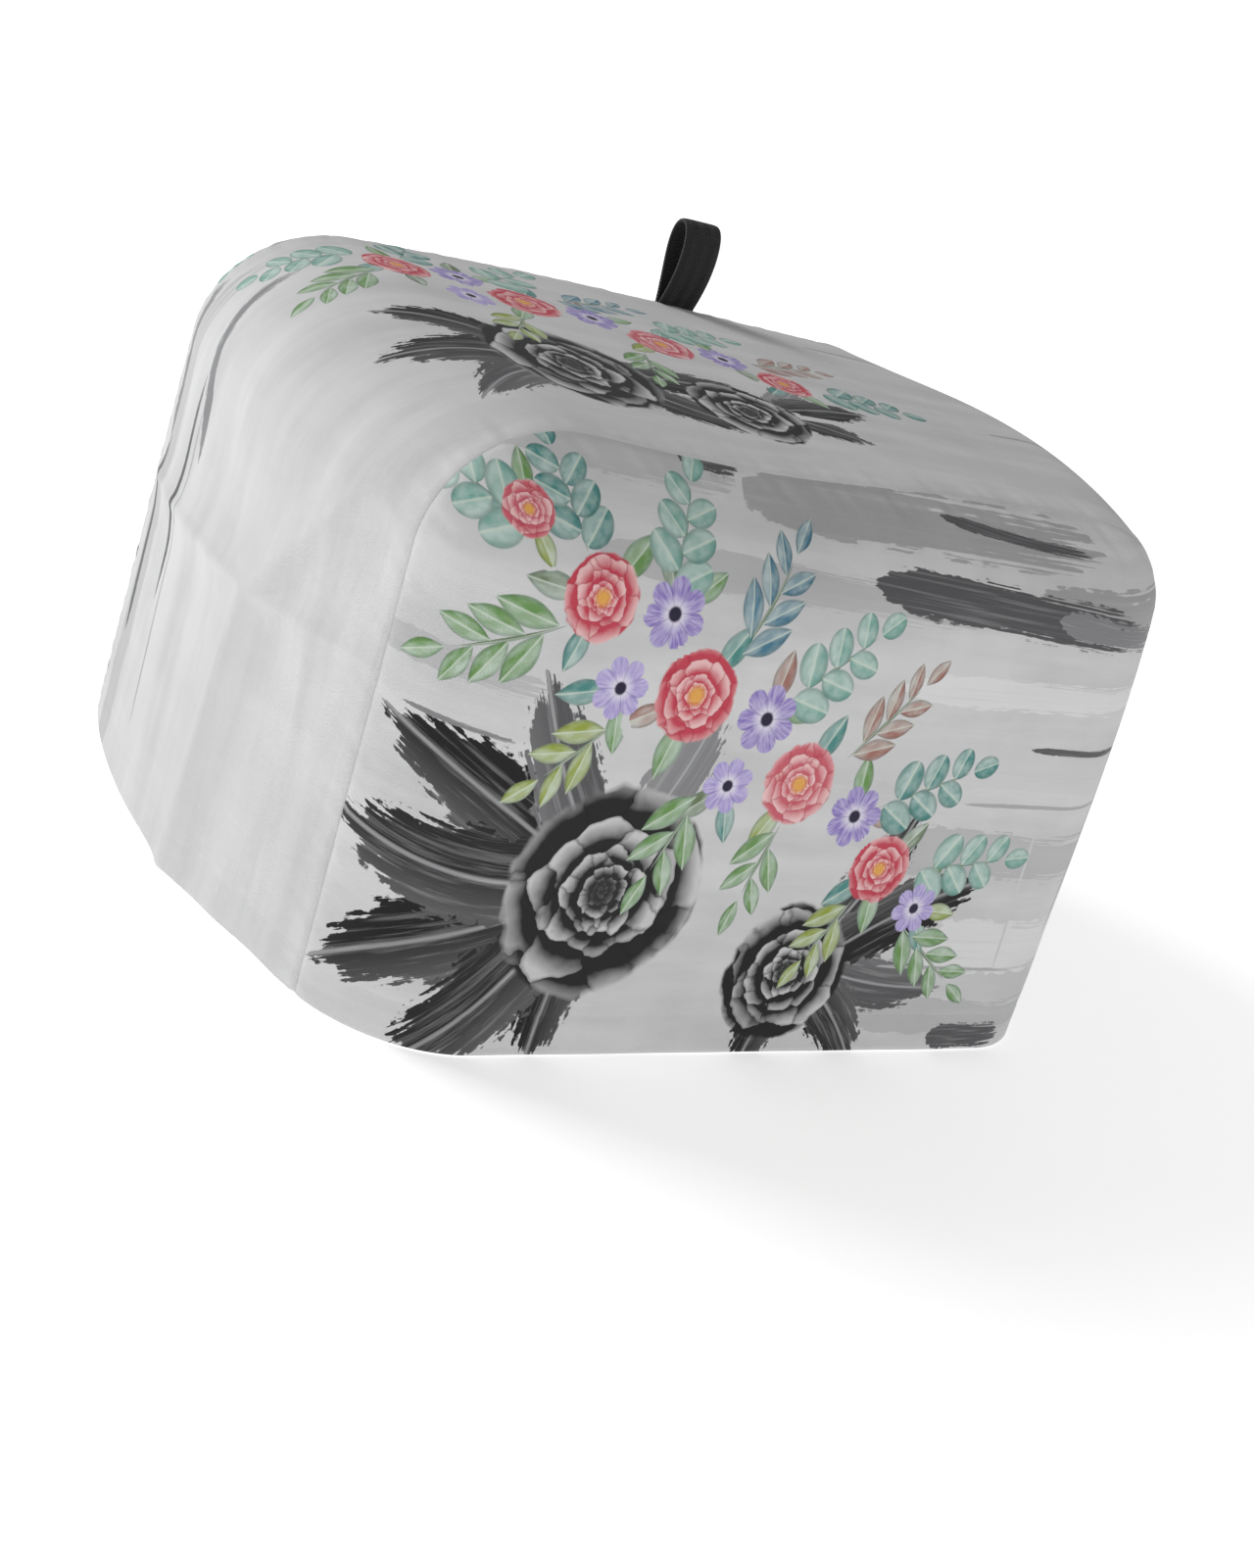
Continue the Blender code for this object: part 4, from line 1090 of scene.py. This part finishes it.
seam, seam_normal = seam_line(1)
foot_height = np.interp(LOOP_PLACE, seam[:, 0], seam[:, 2]) + SOLID_HALF + 0.0003 + hem_z
line = loop_line()
tangent = np.gradient(line, axis=0)
tangent /= np.linalg.norm(tangent, axis=1)[:, None]
across = np.stack([tangent[:, 1], -tangent[:, 0]], axis=1)
section = band_section()
run = np.concatenate([[0.0], np.cumsum(np.linalg.norm(np.diff(line, axis=0), axis=1))])
sway = 0.0005 * np.sin(run / run[-1] * 9.0)
points = np.zeros((len(line), len(section), 3))
points[:, :, 0] = LOOP_PLACE + section[None, :, 0] + sway[:, None]
points[:, :, 1] = TOP_SEAM_DEPTH / 2 + line[:, :1] + across[:, :1] * section[None, :, 1]
points[:, :, 2] = foot_height + line[:, 1:] + across[:, 1:] * section[None, :, 1]
index = np.arange(points.shape[0] * points.shape[1]).reshape(points.shape[:2])
index = np.concatenate([index, index[:, :1]], axis=1)
loop_faces = grid_faces(index)[:, ::-1].tolist() + [index[0, :-1].tolist(), index[-1, -2::-1].tolist()]
mesh = bpy.data.meshes.new("pull_loop_webbing")
mesh.from_pydata(points.reshape(-1, 3).tolist(), [], loop_faces)
mesh.shade_smooth()
band_place = np.zeros((len(line), len(section), 3))
band_place[:, :, 0] = 1000 * run[:, None]
band_place[:, :, 1] = 1000 * section[None, :, 0]
write_attribute(mesh, "band_place", "vector", band_place)
loop = bpy.data.objects.new("pull_loop_webbing", mesh)
bpy.context.scene.collection.objects.link(loop)
pieces["pull_loop"] = loop
print("webbing", round(1000 * run[-1], 1), "mm long")

# %% [markdown]
# ## Woven webbing
# Webbing is polypropylene yarn, woven thick and flat, with fine ribs across it in a chevron and a harder
# edge. Its colour is painted lighter on the rib crests and at both edges, a painted sheen. Black yarn still
# reflects a little, so its roughness is moderate.

# %% Webbing material
RIB_MM = 1.1
webbing = bpy.data.materials.new("black_woven_webbing")
webbing.use_nodes = True
tree = webbing.node_tree
tree.nodes.clear()
band = add(tree, "ShaderNodeAttribute", attribute_name="band_place").outputs["Vector"]
band = add(tree, "ShaderNodeSeparateXYZ", {0: band})
slant = add(tree, "ShaderNodeMath", {0: band.outputs[1], 1: 2.5}, operation="PINGPONG")
slant = add(tree, "ShaderNodeMath", {0: slant, 1: 0.9, 2: band.outputs[0]}, operation="MULTIPLY_ADD")
ribs = add(tree, "ShaderNodeMath", {0: slant, 1: 2 * math.pi / RIB_MM}, operation="MULTIPLY")
ribs = add(tree, "ShaderNodeMath", {0: ribs}, operation="SINE")
yarns = add(tree, "ShaderNodeMath", {0: band.outputs[1], 1: 2 * math.pi / 0.9}, operation="MULTIPLY")
yarns = add(tree, "ShaderNodeMath", {0: yarns}, operation="SINE")
height = add(tree, "ShaderNodeMath", {0: yarns, 1: 0.5, 2: ribs}, operation="MULTIPLY_ADD")
bump = add(tree, "ShaderNodeBump", {"Height": height, "Strength": 0.6, "Distance": 0.0002})
# Painted sheen: the colour is lighter over the outer millimetre or so of both edges.
edge = add(tree, "ShaderNodeMath", {0: band.outputs[1]}, operation="ABSOLUTE")
edge = add(tree, "ShaderNodeMapRange", {0: edge, 1: 6.2, 2: 7.4, 3: 0.0, 4: 0.6})
# Painted light on the ribs: the colour is lighter on their crests, where the bump is highest.
rib_crest_and_edge_sheen = add(tree, "ShaderNodeMapRange", {0: ribs, 1: -1.0, 2: 1.0, 3: 0.0, 4: 0.5})
rib_crest_and_edge_sheen = add(tree, "ShaderNodeMath", {0: rib_crest_and_edge_sheen, 1: edge}, operation="ADD")
yarn_colour_with_painted_sheen = add(tree, "ShaderNodeMix", {0: rib_crest_and_edge_sheen, 6: colour("#101011"), 7: colour("#232324")}, **RGBA)
shader = add(tree, "ShaderNodeBsdfPrincipled", {
    "Base Color": yarn_colour_with_painted_sheen, "Normal": bump, "Roughness": 0.55, "IOR": 1.49,
    "Sheen Weight": 0.1, "Sheen Roughness": 0.4})
add(tree, "ShaderNodeOutputMaterial", {0: shader})
loop.data.materials.append(webbing)

# %% [markdown]
# ## Tie every piece to the model
# Each cloth moves with the one body and stands for its solid, which is hidden, and its sheet area is
# printed.

# %% Frame calls
for node, piece in pieces.items():
    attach(piece, "root")
    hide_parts(node)
    area = sum(face.area for face in piece.data.polygons) / 2
    print(piece.name, "sheet area", round(area, 4), "m2")

# %% [markdown]
# ## Floor and light
# A shop photo is lit softly from the left and above, on white. One large lamp does that, a second
# fills the front, and the sky is even. The floor is so large that its end can't be seen.

# %% Floor
FLOOR_HALF = 12.0
FLOOR_GAP = 0.0005
floor_mesh = bpy.data.meshes.new("studio_floor")
signs = ((-1, -1), (1, -1), (1, 1), (-1, 1))
floor_mesh.from_pydata([(x * FLOOR_HALF, y * FLOOR_HALF, hem_z - FLOOR_GAP) for x, y in signs], [],
                       [(0, 1, 2, 3)])
floor = bpy.data.objects.new("studio_floor", floor_mesh)
bpy.context.scene.collection.objects.link(floor)
paper = bpy.data.materials.new("white_studio_paper")
paper.use_nodes = True
tree = paper.node_tree
shader = tree.nodes["Principled BSDF"]
shader.inputs["Base Color"].default_value = (0.93, 0.93, 0.93, 1.0)
# Paper glows towards its far edge, as a backdrop with its own lamps does, so that no horizon shows.
spot = add(tree, "ShaderNodeTexCoord").outputs["Object"]
spot = add(tree, "ShaderNodeVectorMath", {0: spot}, operation="LENGTH")
glow = add(tree, "ShaderNodeMapRange", {0: spot.outputs["Value"], 1: 0.10, 2: 0.7, 3: 0.42, 4: 0.85})
tree.links.new(glow.outputs[0], shader.inputs["Emission Strength"])
shader.inputs["Emission Color"].default_value = (1.0, 1.0, 1.0, 1.0)
shader.inputs["Roughness"].default_value = 0.9
shader.inputs["Specular IOR Level"].default_value = 0.2
floor.data.materials.append(paper)

# %% Lights
cover_centre = Vector((0.0, 0.0, hem_z / 2))


def softbox(name, place, size, power):
    light = bpy.data.lights.new(name, "AREA")
    light.shape = "SQUARE"
    light.size = size
    light.energy = power
    holder = bpy.data.objects.new(name, light)
    holder.location = place
    holder.rotation_euler = (cover_centre - Vector(place)).to_track_quat("-Z", "Y").to_euler()
    bpy.context.scene.collection.objects.link(holder)


softbox("left_softbox", (-1.30, 1.30, 1.20), 0.8, 23.0)
softbox("front_fill", (-0.3, -2.3, 0.6), 1.6, 9.0)
world = bpy.data.worlds.new("white_studio")
world.use_nodes = True
sky = world.node_tree.nodes["Background"]
sky.inputs["Color"].default_value = (1.0, 1.0, 1.0, 1.0)
seen = add(world.node_tree, "ShaderNodeLightPath")
sky_power = add(world.node_tree, "ShaderNodeMapRange", {0: seen.outputs["Is Camera Ray"], 3: 0.29, 4: 1.0})
world.node_tree.links.new(sky_power.outputs[0], sky.inputs["Strength"])
bpy.context.scene.world = world
bpy.context.scene.view_settings.view_transform = "Standard"

# %% [markdown]
# ## Camera
# The photograph looks down on the front left corner from under a metre away, and the whole product is
# tipped in the picture, so the camera is rolled. A matrix holds the camera's own right, up and backward
# directions.

# %% Camera
CAMERA_PLACE = Vector((-0.4401, -0.5809, 0.3214 + hem_z))
FORWARD = Vector((0.5787, 0.7285, -0.3665)).normalized()
ROLL = math.radians(20.14)
level_right = FORWARD.cross(Vector((0.0, 0.0, 1.0))).normalized()
level_up = level_right.cross(FORWARD)
right = level_right * math.cos(ROLL) + level_up * math.sin(ROLL)
up = level_up * math.cos(ROLL) - level_right * math.sin(ROLL)
camera_data = bpy.data.cameras.new("photo_camera")
camera_data.lens = 52.86
camera_data.sensor_width = 36.0
camera = bpy.data.objects.new("photo_camera", camera_data)
turned = Matrix((right, up, -FORWARD)).transposed().to_4x4()
camera.matrix_world = Matrix.Translation(CAMERA_PLACE) @ turned
bpy.context.scene.collection.objects.link(camera)
bpy.context.scene.camera = camera
print("camera", round((CAMERA_PLACE - cover_centre).length, 3), "m from the middle")
